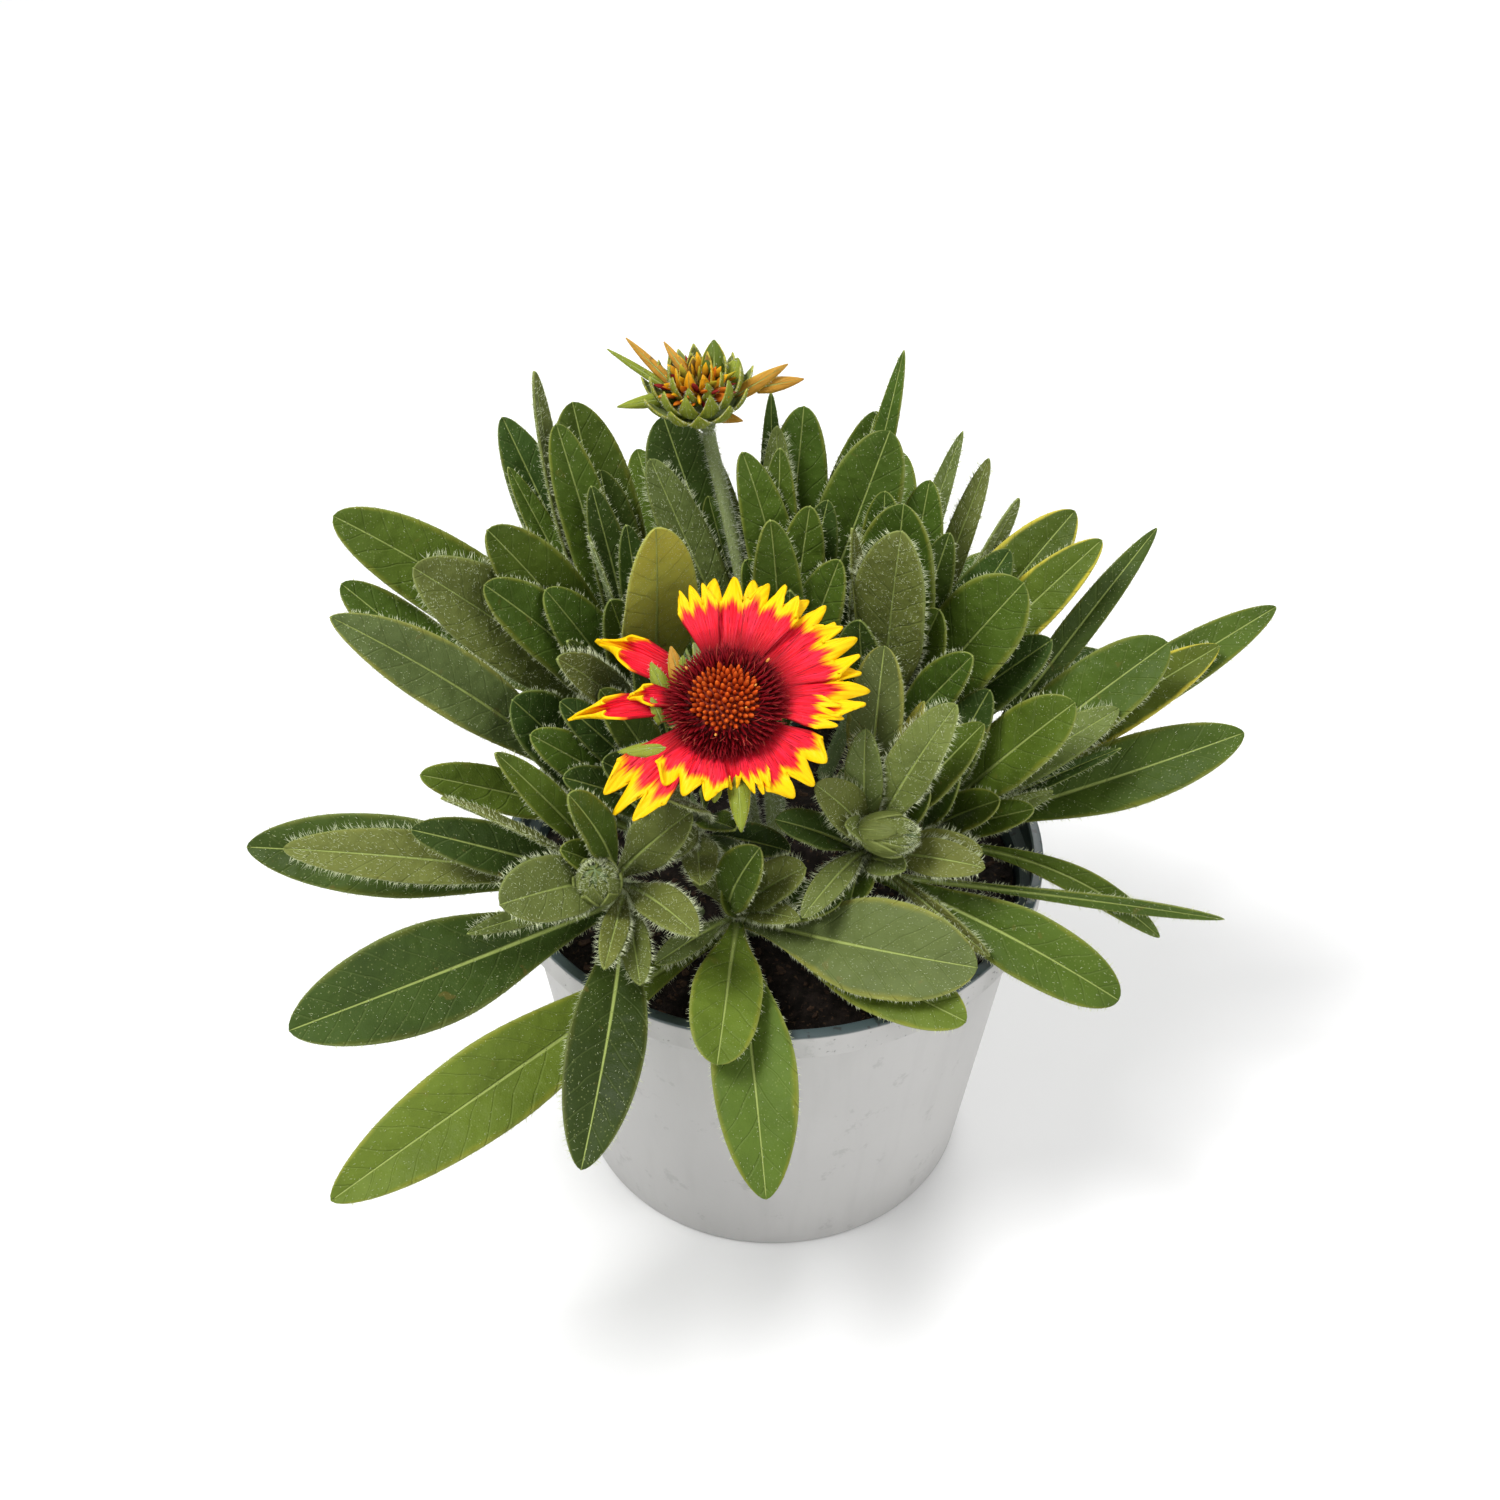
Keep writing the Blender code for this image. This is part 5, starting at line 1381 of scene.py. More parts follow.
class Hairs:
    """Gathers hairs and makes them one mesh of slim closed spikes."""

    def __init__(self, seed):
        self.rng = np.random.default_rng(seed)
        self.roots = []
        self.tips = []

    def add(self, roots, ways, lengths):
        """Hairs that stand at roots, each as long as its length."""
        ways = ways / np.maximum(np.linalg.norm(ways, axis=1), 1e-9)[:, None]
        self.roots.append(roots - ways * 0.12)
        self.tips.append(roots + ways * lengths[:, None])

    def on_leaf(self, way, look, amount):
        """A fringe along the margins and short hairs over the faces."""
        edge, face, length = LEAF_LOOKS[look][3:6]
        rng = self.rng
        size = (way[1] - way[0]).length
        for sign in (-1.0, 1.0):
            count = int(size * edge * amount)
            t = rng.uniform(0.03, 0.985, count)
            place, along, normal, side, half = leaf_points(way, np.full(count, sign * 0.995), t)
            lean = rng.normal(0.0, 0.35, (count, 3))
            ways = side * sign + along * 0.55 + lean
            self.add(place, ways, length * rng.uniform(0.55, 1.25, count))
        count = int(size * way[2] * 0.62 * face * amount)
        for sign in (1.0, -1.0):
            t = rng.uniform(0.03, 0.97, count) ** 0.8
            s = rng.uniform(-0.95, 0.95, count)
            place, along, normal, side, half = leaf_points(way, s, t)
            lean = rng.normal(0.0, 0.3, (count, 3))
            ways = normal * sign * 0.75 + along * 0.8 + lean
            place = place + normal * sign * 0.25
            self.add(place, ways, length * 0.62 * rng.uniform(0.5, 1.2, count))

    def on_bract(self, root, tip, width, out, rise, look, amount):
        """Hairs over a bract and along its edges."""
        edge, face, length = LEAF_LOOKS[look][3:6]
        size = (tip - root).length
        count = int(size * (edge * 2 + width * face) * amount)
        if count < 1:
            return
        along = (tip - root).normalized()
        side = np.array(along.cross(out).normalized())
        t = self.rng.uniform(0.05, 0.98, count)
        s = np.where(self.rng.random(count) < 0.6, np.sign(self.rng.uniform(-1, 1, count)),
                     self.rng.uniform(-1, 1, count))
        half = bract_half(width, t)
        out, along = np.array(out), np.array(along)
        place = np.outer(1 - t, np.array(root)) + np.outer(t, np.array(tip))
        place += out * (rise * 4 * t * (1 - t) - 0.45 * half * s * s)[:, None]
        place += side * (s * half)[:, None]
        ways = side * s[:, None] + out * 0.7 + along * 0.5 + self.rng.normal(0, 0.3, (count, 3))
        self.add(place, ways, length * self.rng.uniform(0.5, 1.2, count))

    def on_tube(self, points, radii, per_mm, length):
        """Hairs standing out from a round stem."""
        rng = self.rng
        for i in range(len(points) - 1):
            low, high = np.array(points[i]), np.array(points[i + 1])
            span = np.linalg.norm(high - low)
            count = int(span * per_mm)
            base = axes(Vector(low), (points[i + 1] - points[i]).normalized())
            x, y = np.array(base.col[0][:3]), np.array(base.col[1][:3])
            t = rng.uniform(0, 1, count)[:, None]
            turn = rng.uniform(0, 2 * math.pi, count)[:, None]
            out = x * np.cos(turn) + y * np.sin(turn)
            wide = radii[i] * (1 - t) + radii[i + 1] * t
            place = low * (1 - t) + high * t + out * wide * 0.97
            ways = out + rng.normal(0.0, 0.28, (count, 3))
            self.add(place, ways, length * rng.uniform(0.5, 1.3, count))

    def on_egg(self, centre, along, length, radius, count, hair):
        """Hairs all over a closed bud."""
        rng = self.rng
        turn = rng.uniform(0, 2 * math.pi, count)
        high = rng.uniform(-0.45, 0.47, count)
        wide = np.sqrt(np.maximum(0.02, 1 - (high / 0.5) ** 2)) * 0.92
        local = np.stack([radius * wide * np.cos(turn), radius * wide * np.sin(turn),
                          high * length], axis=1)
        basis = np.array(axes(centre, along).to_3x3())
        place = local @ basis.T + np.array(centre)
        ways = np.stack([np.cos(turn), np.sin(turn), 0.7 + high], axis=1) @ basis.T
        ways = ways + rng.normal(0, 0.3, (count, 3))
        self.add(place, ways, hair * rng.uniform(0.5, 1.2, count))

    def make(self, name, material, width=HAIR_WIDTH):
        """The hairs as one mesh, each a spike on a three-sided foot."""
        roots, tips = np.concatenate(self.roots), np.concatenate(self.tips)
        way = tips - roots
        way /= np.linalg.norm(way, axis=1)[:, None]
        helper = np.where(np.abs(way[:, 2:3]) < 0.8, np.array([[0.0, 0.0, 1.0]]),
                          np.array([[1.0, 0.0, 0.0]]))
        a = np.cross(way, helper)
        a /= np.linalg.norm(a, axis=1)[:, None]
        b = np.cross(way, a)
        corners = [roots + (a * math.cos(q) + b * math.sin(q)) * width / 2
                   for q in (0.0, 2.094, 4.189)]
        verts = np.stack(corners + [tips], axis=1).reshape(-1, 3)
        start = np.arange(len(roots))[:, None, None] * 4
        faces = start + np.array([[0, 1, 3], [1, 2, 3], [2, 0, 3], [0, 2, 1]])[None]
        mesh = bpy.data.meshes.new(name)
        mesh.vertices.add(len(verts))
        mesh.vertices.foreach_set("co", (verts * MM).ravel())
        faces = faces.reshape(-1, 3)
        mesh.loops.add(len(faces) * 3)
        mesh.loops.foreach_set("vertex_index", faces.ravel())
        mesh.polygons.add(len(faces))
        mesh.polygons.foreach_set("loop_start", np.arange(len(faces)) * 3)
        mesh.update(calc_edges=True)
        mesh.validate()
        mesh.materials.append(material)
        return add_object(name, mesh)


def solids_in_the_way(thicket):
    """What the leaves stand clear of, in the order the solid model adds it."""
    for name in ("pot", "potting_mix", "flower_stem", "ray_petals", "flower_disc", "bud_stem",
                 "bud_florets"):
        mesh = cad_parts[name].data
        verts = [v.co / MM for v in mesh.vertices]
        faces = [tuple(p.vertices) for p in mesh.polygons]
        thicket.add((verts, faces), name)
    for shoot, (foot, head, radius) in SHOOTS.items():
        thicket.add(tube(stem_line(foot, head), [radius + 0.1] * 4, 8), "shoot_" + shoot, 10000)
        for shape in closed_buds(shoot):
            thicket.add(shape, "shoot_" + shoot, 10000)


def grow_leaf(thicket, shoot, aim, values, seed, stops=None, clearance=CLEARANCE):
    """Finds room for one leaf of a shoot; gives the way it runs, or None."""
    width, rise, blunt, at, look, *lean = values
    sway, roll = lean or (0, 0)
    foot, head, radius = SHOOTS[shoot]
    root = Vector(foot).lerp(Vector(head), 0.35 + 0.62 * at)
    if stops is None:
        stops = SMALL_STOPS if width < SMALL_WIDTH else LEAF_STOPS
        stops = SLIM_STOPS if width < SLIM_WIDTH else stops
    return thicket.place(root, aim, width * slant(shoot), rise, sway, roll, blunt, seed,
                         "shoot_" + shoot, stops, clearance)


def grow_shoots():
    """Where every leaf stands: for each shoot, its leaves' names, ways and looks."""
    thicket = Thicket()
    solids_in_the_way(thicket)
    grown = {shoot: [] for shoot in SHOOTS}
    order = [(shoot, *row) for shoot in SHOOTS for row in leaf_rows(shoot)]
    order.sort(key=lambda row: -row[3][0])
    for i, (shoot, name, aim, values) in enumerate(order):
        way = grow_leaf(thicket, shoot, aim, values, i)
        if way is None:
            raise RuntimeError("no room for leaf " + shoot + "/" + name)
        grown[shoot].append((name, way, values[4]))
    fill_gaps(thicket, grown)
    return grown


def fill_gaps(thicket, grown):
    """Adds the leaves in the heart of the clump, wherever there is room for them."""
    seed = FILL_SEED
    for shoot, rows in FILL_LEAVES.items():
        for name, u, v, y, *values in rows:
            seed += 1
            way = grow_leaf(thicket, shoot, lambda back: seen(u, v, y + back), values, seed,
                            SMALL_STOPS, FILL_CLEARANCE)
            if way:
                grown[shoot].append(("fill_" + name, way, values[4]))


def shoot_stem(shoot):
    """The short round stem that carries a shoot's leaves."""
    foot, head, radius = SHOOTS[shoot]
    foot, head = Vector(foot), Vector(head)
    lean = (head - foot).normalized()
    points = [foot - lean * 8, foot, foot.lerp(head, 0.5), head, head + lean * 1.6]
    radii = [radius, radius * 1.05, radius, radius * 0.9, radius * 0.3]
    return points, radii


def sheet_from(points, rows, columns, look, name, reach, wide):
    """A small green sheet from a grid of points, with what the leaf material reads."""
    faces = []
    for row in range(rows - 1):
        for column in range(columns - 1):
            a = row * columns + column
            faces.append((a, a + 1, a + columns + 1, a + columns))
    obj = new_object(name, points, faces)
    t = np.repeat(np.linspace(0, 1, rows), columns)
    s = np.tile(np.linspace(-1, 1, columns), rows)
    dress_leaf(obj.data, look, LEAF_LOOKS[look][0], s, t, s * wide * 3.5, t * reach)
    return obj


def wrapped_scale(frame_axes, length, radius, low, high, angle, spread_angle, flare, name):
    """One scale of a closed bud, lying on the bud's egg shape and pointed at its end."""
    rows, columns = 10, 9
    points = []
    for row in range(rows):
        t = row / (rows - 1)
        share = low + (high - low) * t
        egg_radius = radius * max(0.0, 1 - (2 * share) ** 2) ** 0.6
        away = egg_radius + 0.25 + flare * t * t
        half = spread_angle * float(np.interp(t, (0, 0.35, 0.75, 1), (0.85, 1.0, 0.55, 0.03)))
        for column in range(columns):
            turn = angle + half * (-1 + 2 * column / (columns - 1))
            points.append(frame_axes @ Vector((away * math.cos(turn), away * math.sin(turn),
                                               share * length)))
    return sheet_from(points, rows, columns, "hairy", name, length * (high - low), radius)


def closed_bud_scales(centre, along, length, radius):
    """Three rings of scales that close a bud."""
    frame_axes = axes(centre, along)
    scales = []
    for ring, (count, low, high, wide, flare) in enumerate(
            ((5, -0.3, 0.49, 0.75, -0.4), (5, -0.42, 0.4, 0.72, 0.1),
             (6, -0.47, 0.22, 0.6, 0.7))):
        for i in range(count):
            angle = 2 * math.pi * (i + 0.5 * ring + 0.2) / count
            scales.append(wrapped_scale(frame_axes, length, radius * (0.88 + 0.06 * ring), low,
                                        high, angle, wide, flare, "scale_%d_%d" % (ring, i)))
    return scales


def bract_sheet(root, tip, width, out, rise, look, name):
    """A small pointed bract, widest low down, its edges cupped away from out."""
    rows, columns = 10, 7
    along = (tip - root).normalized()
    side = along.cross(out).normalized()
    points = []
    for row in range(rows):
        t = row / (rows - 1)
        half = float(bract_half(width, t))
        mid = root.lerp(tip, t) + out * (rise * 4 * t * (1 - t))
        for column in range(columns):
            s = -1 + 2 * column / (columns - 1)
            points.append(mid + side * (s * half) - out * (0.45 * half * s * s))
    return sheet_from(points, rows, columns, look, name, (tip - root).length, width / 2)


def leaf_sheets(grid, shoot, leaves):
    """The leaves of one shoot and the scales of its closed bud, each as a thin sheet."""
    sheets = [shape_leaf(grid, way, look, "leaf_" + name) for name, way, look in leaves]
    for bud in buds_of(shoot):
        sheets += closed_bud_scales(*bud)
    return sheets


def stem_parts(shoot):
    """A shoot's stem, and the core and stalk of its closed bud."""
    points, radii = shoot_stem(shoot)
    parts = [new_object(shoot + "_stem", *tube(points, radii, 14))]
    for centre, along, length, radius in buds_of(shoot):
        parts.append(new_object("core", *egg(centre, along, length * 0.94, radius * 0.84)))
        stalk = bud_stalk(shoot, centre, along, length)
        parts.append(new_object("stalk", *tube(stalk, STALK_RADII, 12)))
    return parts


def hair_shoot(shoot, leaves, amount):
    """Hairs of one shoot's leaves, stem and closed bud."""
    hairs = Hairs(len(shoot) * 31 + ord(shoot[0]) + ord(shoot[-1]))
    for name, way, look in leaves:
        hairs.on_leaf(way, look, amount)
    points, radii = shoot_stem(shoot)
    hairs.on_tube(points[1:4], radii[1:4], 14 * amount, 1.5)
    for bud in buds_of(shoot):
        hairs.on_egg(*bud, int(1700 * amount), 1.1)
    return hairs


class PLANT_OT_shoots(bpy.types.Operator):
    """Grows every leafy shoot, its leaves standing clear of each other, with their hairs"""

    bl_idname = "plant.shoots"
    bl_label = "Leafy shoots"
    bl_options = {"REGISTER", "UNDO"}

    def execute(self, context):
        sizes = context.scene.plant_sizes
        grown = grow_shoots()
        grid = grid_template(LEAF_COLUMNS - 1, LEAF_ROWS - 1)
        upper = leaf_material("leaf_upper")
        under = leaf_material("leaf_under", underside=True)
        stem_skin = stem_material("shoot_stem_skin", (0.1, 0.17, 0.05), (0.19, 0.24, 0.09))
        hair = hair_material("leaf_hairs", (0.64, 0.69, 0.44))
        for shoot, leaves in grown.items():
            blades = join(shoot + "_leaves", leaf_sheets(grid, shoot, leaves))
            paint(blades, upper, under)
            thicken(blades, sizes.leaf_thickness)
            place_piece(blades, "leaf_green", "shoot_" + shoot)
            stem = join(shoot + "_stem", stem_parts(shoot))
            paint(stem, stem_skin)
            place_piece(stem, "leaf_green")
            fuzz = hair_shoot(shoot, leaves, sizes.hair_amount).make(shoot + "_hairs", hair)
            place_piece(fuzz, "leaf_green")
        bpy.data.objects.remove(grid[0], do_unlink=True)
        return {"FINISHED"}


def smooth_path(points, per_span=6):
    """A smooth run of points through the given ones."""
    made = []
    ends = [points[0] * 2 - points[1]] + list(points) + [points[-1] * 2 - points[-2]]
    for i in range(1, len(ends) - 2):
        a, b, c, d = ends[i - 1:i + 3]
        for step in range(per_span):
            t = step / per_span
            made.append(0.5 * ((2 * b) + (c - a) * t + (2 * a - 5 * b + 4 * c - d) * t * t
                               + (3 * b - a - 3 * c + d) * t ** 3))
    made.append(points[-1])
    return made


def ring_bract(centre, facing_way, angle, root, tip, width, rise, look):
    """A bract whose root and tip are (distance from the axis, height along it)."""
    basis = axes(centre, facing_way).to_3x3()
    way = basis @ Vector((math.cos(angle), math.sin(angle), 0))
    low = centre + way * root[0] + facing_way * root[1]
    high = centre + way * tip[0] + facing_way * tip[1]
    along = (high - low).normalized()
    back = way - facing_way * 0.6
    return (low, high, width, square(back, along), rise, look)


def leaf_skins():
    """The two skins of a leaf, made with the shoots: upper side and underside."""
    return bpy.data.materials["leaf_upper"], bpy.data.materials["leaf_under"]


def stemmed_head(name, node, line, radii, cup, bracts, skin, hair, amount):
    """A stem with its cup, in stem skin, and its bracts, in leaf skin, with hairs."""
    path = smooth_path(line)
    wide = np.interp(np.linspace(0, 1, len(path)), np.linspace(0, 1, len(radii)), radii).tolist()
    stem = join(name, [new_object(name, *tube(path, wide, 16)), new_object("cup", *cup)])
    paint(stem, skin)
    place_piece(stem, "stem_green", node)
    blades = join(name + "_bracts", [bract_sheet(*row, "bract") for row in bracts])
    paint(blades, *leaf_skins())
    thicken(blades, BRACT_THICK)
    place_piece(blades, "stem_green")
    hairs = Hairs(len(name) * 7)
    hairs.on_tube(path[6:], wide[6:], 26 * amount, 1.4)
    for row in bracts:
        hairs.on_bract(*row, amount)
    place_piece(hairs.make(name + "_hairs", hair, STEM_HAIR_WIDTH), "stem_green")


def cup_shape(centre, facing_way, radius, depth, neck, sides=40):
    """Green cup under a flower head."""
    profile = [(0, -depth - 1.5), (neck, -depth - 1.5), (neck + 0.6, -depth),
               (radius * 0.5, -depth * 0.78), (radius * 0.72, -depth * 0.55),
               (radius * 0.9, -depth * 0.28), (radius, -depth * 0.12), (radius - 0.3, 0), (0, 0)]
    return lathe(profile, sides, axes(centre, facing_way))


def petal_points(root, tip, width, seed, s, t, folded):
    """Points of a ray: a wedge that ends in three lobes, with two grooves along it."""
    rng = random.Random(seed)
    flat = square(tip - FLOWER_CENTRE, FLOWER_FACING)
    side = np.array(flat.cross(FLOWER_FACING).normalized())
    up = np.array(FLOWER_FACING)
    bow = rng.uniform(0.6, 1.6)
    skew = rng.uniform(-0.5, 0.5)
    cup = 0.55 if folded else rng.uniform(0.03, 0.1)
    lobes = np.zeros_like(s)
    points = ((0.0, 1.0, 1.0),) if folded else LOBES
    for centre, tall, wide in points:
        away = np.minimum(1.0, np.abs(s - centre) / wide)
        lobes = np.maximum(lobes, tall - 0.37 * away ** 1.8)
    reach = t * (1 - (1 - lobes) * t ** 3)
    breadth = np.interp(t, (0, 0.2, 0.5, 0.75, 1.0),
                        (0.5, 0.72, 0.82, 0.64, 0.22) if folded else (0.36, 0.58, 0.9, 1.0, 0.86))
    middle = np.outer(1 - reach, np.array(root)) + np.outer(reach, np.array(tip))
    lift = bow * 4 * reach * (1 - reach)
    lift = lift + cup * width * (s ** 2 - 0.4) * t + 0.25 * skew * s * width * t * 0.3
    lift = lift - 0.3 * t * (np.exp(-((s - 0.33) / 0.08) ** 2) + np.exp(-((s + 0.33) / 0.08) ** 2))
    lift = lift + 0.06 * width * np.sin(6.0 * s + 5.0 * t + seed) * t ** 2
    return middle + side * (s * breadth * width / 2)[:, None] + up * lift[:, None]


def make_rays():
    """Every ray, from one grid, joined into one sheet."""
    template, s, t = grid_template(48, 24)
    rays = []
    for i, (name, u, v, width, lift) in enumerate(RAYS):
        tip = seen_on_plane(u, v, FLOWER_CENTRE, FLOWER_FACING) + FLOWER_FACING * lift
        root = FLOWER_CENTRE + square(tip - FLOWER_CENTRE, FLOWER_FACING) * (RING_OUTER - 2.6)
        mesh = template.data.copy()
        folded = name in FOLDED_RAYS
        place = petal_points(root, tip, width, i, s, t, folded)
        mesh.vertices.foreach_set("co", (place * MM).ravel())
        share = t * (0.86 + 0.34 * s ** 4) if folded else t
        spread(mesh, "petal_place", np.stack([share, s, np.full_like(t, i * 3.7)], axis=1))
        mesh.update()
        rays.append(add_object("ray_" + name, mesh))
    bpy.data.objects.remove(template, do_unlink=True)
    return join("petals", rays)


def make_floret(name, rings, sides=7):
    """A floret modelled once, in mm: a cone drawn out into a small tube or knob."""
    obj = start_ring(rings[0], sides, 1.0)
    bpy.ops.mesh.select_all(action="SELECT")
    draw_out(bpy.ops.mesh.extrude_region_move, rings, 1.0)
    return end_edit(obj, name)


def copy_florets(name, shape, places, bend=0.0):
    """Copies of a floret, each (matrix, size, low colour, tip colour), as one mesh."""
    source = np.empty(len(shape.data.vertices) * 3)
    shape.data.vertices.foreach_get("co", source)
    source = source.reshape(-1, 3)
    tall = source[:, 2].max()
    polygons = [tuple(p.vertices) for p in shape.data.polygons]
    verts, faces, tints = [], [], []
    for matrix, size, low, high in places:
        share = np.clip(source[:, 2] / tall, 0, 1)[:, None]
        local = source * size
        local[:, 0] += bend * size * share[:, 0] ** 2
        basis = np.array(matrix)
        start = len(verts)
        verts += (local @ basis[:3, :3].T + basis[:3, 3]).tolist()
        faces += [tuple(start + i for i in p) for p in polygons]
        blend = share ** 1.5
        tints.append(np.array(low) * (1 - blend) + np.array(high) * blend)
    obj = new_object(name, verts, faces)
    colours = np.concatenate(tints)
    stain(obj.data, "floret_tint", np.column_stack([colours, np.ones(len(colours))]))
    bpy.data.objects.remove(shape, do_unlink=True)
    return obj


def dome_places(centre, facing_way, radius, height, count, low, high):
    """Spiral of frames over a dome, from share low to share high of its tilt."""
    dome = axes(centre, facing_way)
    basis = dome.to_3x3()
    places = []
    for i in range(count):
        share = math.sqrt((i + 0.5) / count)
        if not low <= share < high:
            continue
        angle = i * GOLDEN_TURN
        tilt = share * math.pi / 2 * 0.96
        at = dome @ Vector((radius * math.sin(tilt) * math.cos(angle),
                            radius * math.sin(tilt) * math.sin(angle),
                            height * math.cos(tilt)))
        lean = tilt * 0.86
        way = basis @ Vector((math.sin(lean) * math.cos(angle), math.sin(lean) * math.sin(angle),
                              math.cos(lean)))
        x = square(basis @ Vector((math.cos(angle), math.sin(angle), 0)), way)
        places.append(matrix_of(x, way.cross(x), way, at))
    return places


def disc_places(centre, count, low, high, inset=0.0):
    """Frames over the dome of the open flower's middle."""
    return dome_places(centre, FLOWER_FACING, DISC_WIDE - inset, DISC_TALL, count, low, high)


def disc_core(centre):
    """The dome under the disc's florets, rusty on top and maroon round it."""
    wide, tall = DISC_WIDE - 0.2, DISC_TALL - 0.2
    profile = [(0, -0.5), (wide, -0.5)]
    profile += [(wide * math.cos(i * math.pi / 16), tall * math.sin(i * math.pi / 16) + 0.01)
                for i in range(8)]
    dome = axes(centre, FLOWER_FACING)
    core = new_object("disc_core", *lathe(profile + [(0, tall)], 48, dome))
    flat = dome.inverted()
    stain(core.data, "floret_tint",
          [(0.26, 0.026, 0.004, 1.0) if (flat @ (v.co / MM)).z > 0.72 * tall
           else (0.085, 0.001, 0.002, 1.0) for v in core.data.vertices])
    return core


def make_disc(count):
    """Middle of the open flower: bristling maroon florets round tight orange-brown ones."""
    rng = random.Random(5)
    down = square(Vector((0, -1, 0)), FLOWER_FACING)
    centre = FLOWER_CENTRE + FLOWER_FACING * (RING_THICK / 2 + 0.6) + down * 1.6
    maroon, wine = (0.11, 0.001, 0.002), (0.29, 0.003, 0.01)
    rust, amber = (0.42, 0.035, 0.004), (0.7, 0.14, 0.014)
    reds = ((0.24, 0.008, 0.018), (0.34, 0.015, 0.03), (0.2, 0.006, 0.012), (0.5, 0.1, 0.06))
    spike = make_floret("spike", ((0.3, -0.8), (0.36, 0.4), (0.3, 1.8), (0.24, 2.6),
                                  (0.12, 3.1), (0.03, 3.5)))
    outer = [(matrix, rng.uniform(0.6, 1.05), maroon, wine)
             for matrix in disc_places(centre, count, 0.44, 1.01)]
    parts = [copy_florets("disc_outer", spike, outer, 0.6)]
    knob = make_floret("knob", ((0.42, -0.6), (0.5, 0.3), (0.54, 1.0), (0.36, 1.6),
                                (0.05, 2.1)), 6)
    inner = []
    for matrix in disc_places(centre, count + 70, 0.0, 0.47):
        glow = rng.uniform(0.75, 1.2)
        inner.append((matrix, rng.uniform(0.75, 1.15), rust, tuple(c * glow for c in amber)))
    parts.append(copy_florets("disc_inner", knob, inner))
    thread = make_floret("thread", ((0.1, 0.0), (0.11, 1.5), (0.1, 3.0), (0.05, 4.4)), 5)
    curls = []
    for matrix in disc_places(centre, 420, 0.42, 1.0, 0.6):
        tip = rng.choice(reds)
        turn = Matrix.Rotation(rng.uniform(0, 6.28), 4, "Z")
        curls.append((matrix @ turn, rng.uniform(0.55, 1.05), wine, tip))
    parts.append(copy_florets("disc_threads", thread, curls, 1.4))
    grain = make_floret("grain", ((0.14, 2.2), (0.26, 2.5), (0.22, 2.9), (0.05, 3.2)), 6)
    specks = [(matrix, rng.uniform(0.8, 1.3), (0.6, 0.22, 0.03), (0.85, 0.45, 0.1))
              for matrix in disc_places(centre, 60, 0.3, 0.9) if rng.random() < 0.16]
    parts.append(copy_florets("disc_pollen", grain, specks))
    return join("flower_middle", parts + [disc_core(centre)])


def flower_bracts(base):
    """Green bracts under the open flower, and the ones that show between its rays."""
    bracts = []
    for i in range(10):
        angle = 2 * math.pi * (i + 0.3) / 10
        length = 9.5 + 3.0 * math.sin(i * 2.3)
        bracts.append(ring_bract(base, FLOWER_FACING, angle, (7.0, -1.4),
                                 (7.0 + length, -4.5 - 1.5 * (i % 2)), 4.6, 1.0, "sepal"))
    for i in range(12):
        angle = 2 * math.pi * (i + 0.8) / 12
        bracts.append(ring_bract(base, FLOWER_FACING, angle, (7.5, -0.6),
                                 (15.5 + 2.0 * math.sin(i * 1.7), -1.8), 3.6, 0.6, "sepal"))
    for name, root_u, root_v, tip_u, tip_v, lift, width, look in FLOWER_STRAYS:
        low = seen_on_plane(root_u, root_v, FLOWER_CENTRE, FLOWER_FACING)
        high = seen_on_plane(tip_u, tip_v, FLOWER_CENTRE, FLOWER_FACING)
        along = (high - low).normalized()
        out = square(FLOWER_FACING, along)
        bracts.append((low - FLOWER_FACING * 0.5, high + FLOWER_FACING * lift, width, out, 0.6,
                       look))
    return bracts


class PLANT_OT_flower(bpy.types.Operator):
    """Builds the open flower: stem, cup, bracts, lobed rays and the bristling middle"""

    bl_idname = "plant.flower"
    bl_label = "Open flower"
    bl_options = {"REGISTER", "UNDO"}

    def execute(self, context):
        sizes = context.scene.plant_sizes
        colours = context.scene.plant_colours
        base = FLOWER_CENTRE - FLOWER_FACING * (RING_THICK / 2 + 0.4)
        stemmed_head("flower_stalk", "flower_stem", flower_stem_line(),
                     [2.0, 2.0, 1.9, 1.7, 1.6, 2.0],
                     cup_shape(base, FLOWER_FACING, 10.0, 6.0, 2.2), flower_bracts(base),
                     stem_material("flower_stem_skin", (0.16, 0.22, 0.07), (0.27, 0.31, 0.13)),
                     hair_material("stem_hairs", (0.62, 0.66, 0.5)), sizes.hair_amount)
        petals = make_rays()
        paint(petals, petal_material(tuple(colours.petal_red), tuple(colours.petal_yellow)))
        thicken(petals, PETAL_THICK)
        place_piece(petals, "ray_petals", "ray_petals")
        middle = make_disc(sizes.disc_florets)
        paint(middle, floret_material("floret_skin"))
        place_piece(middle, "disc_florets", "flower_disc")
        return {"FINISHED"}


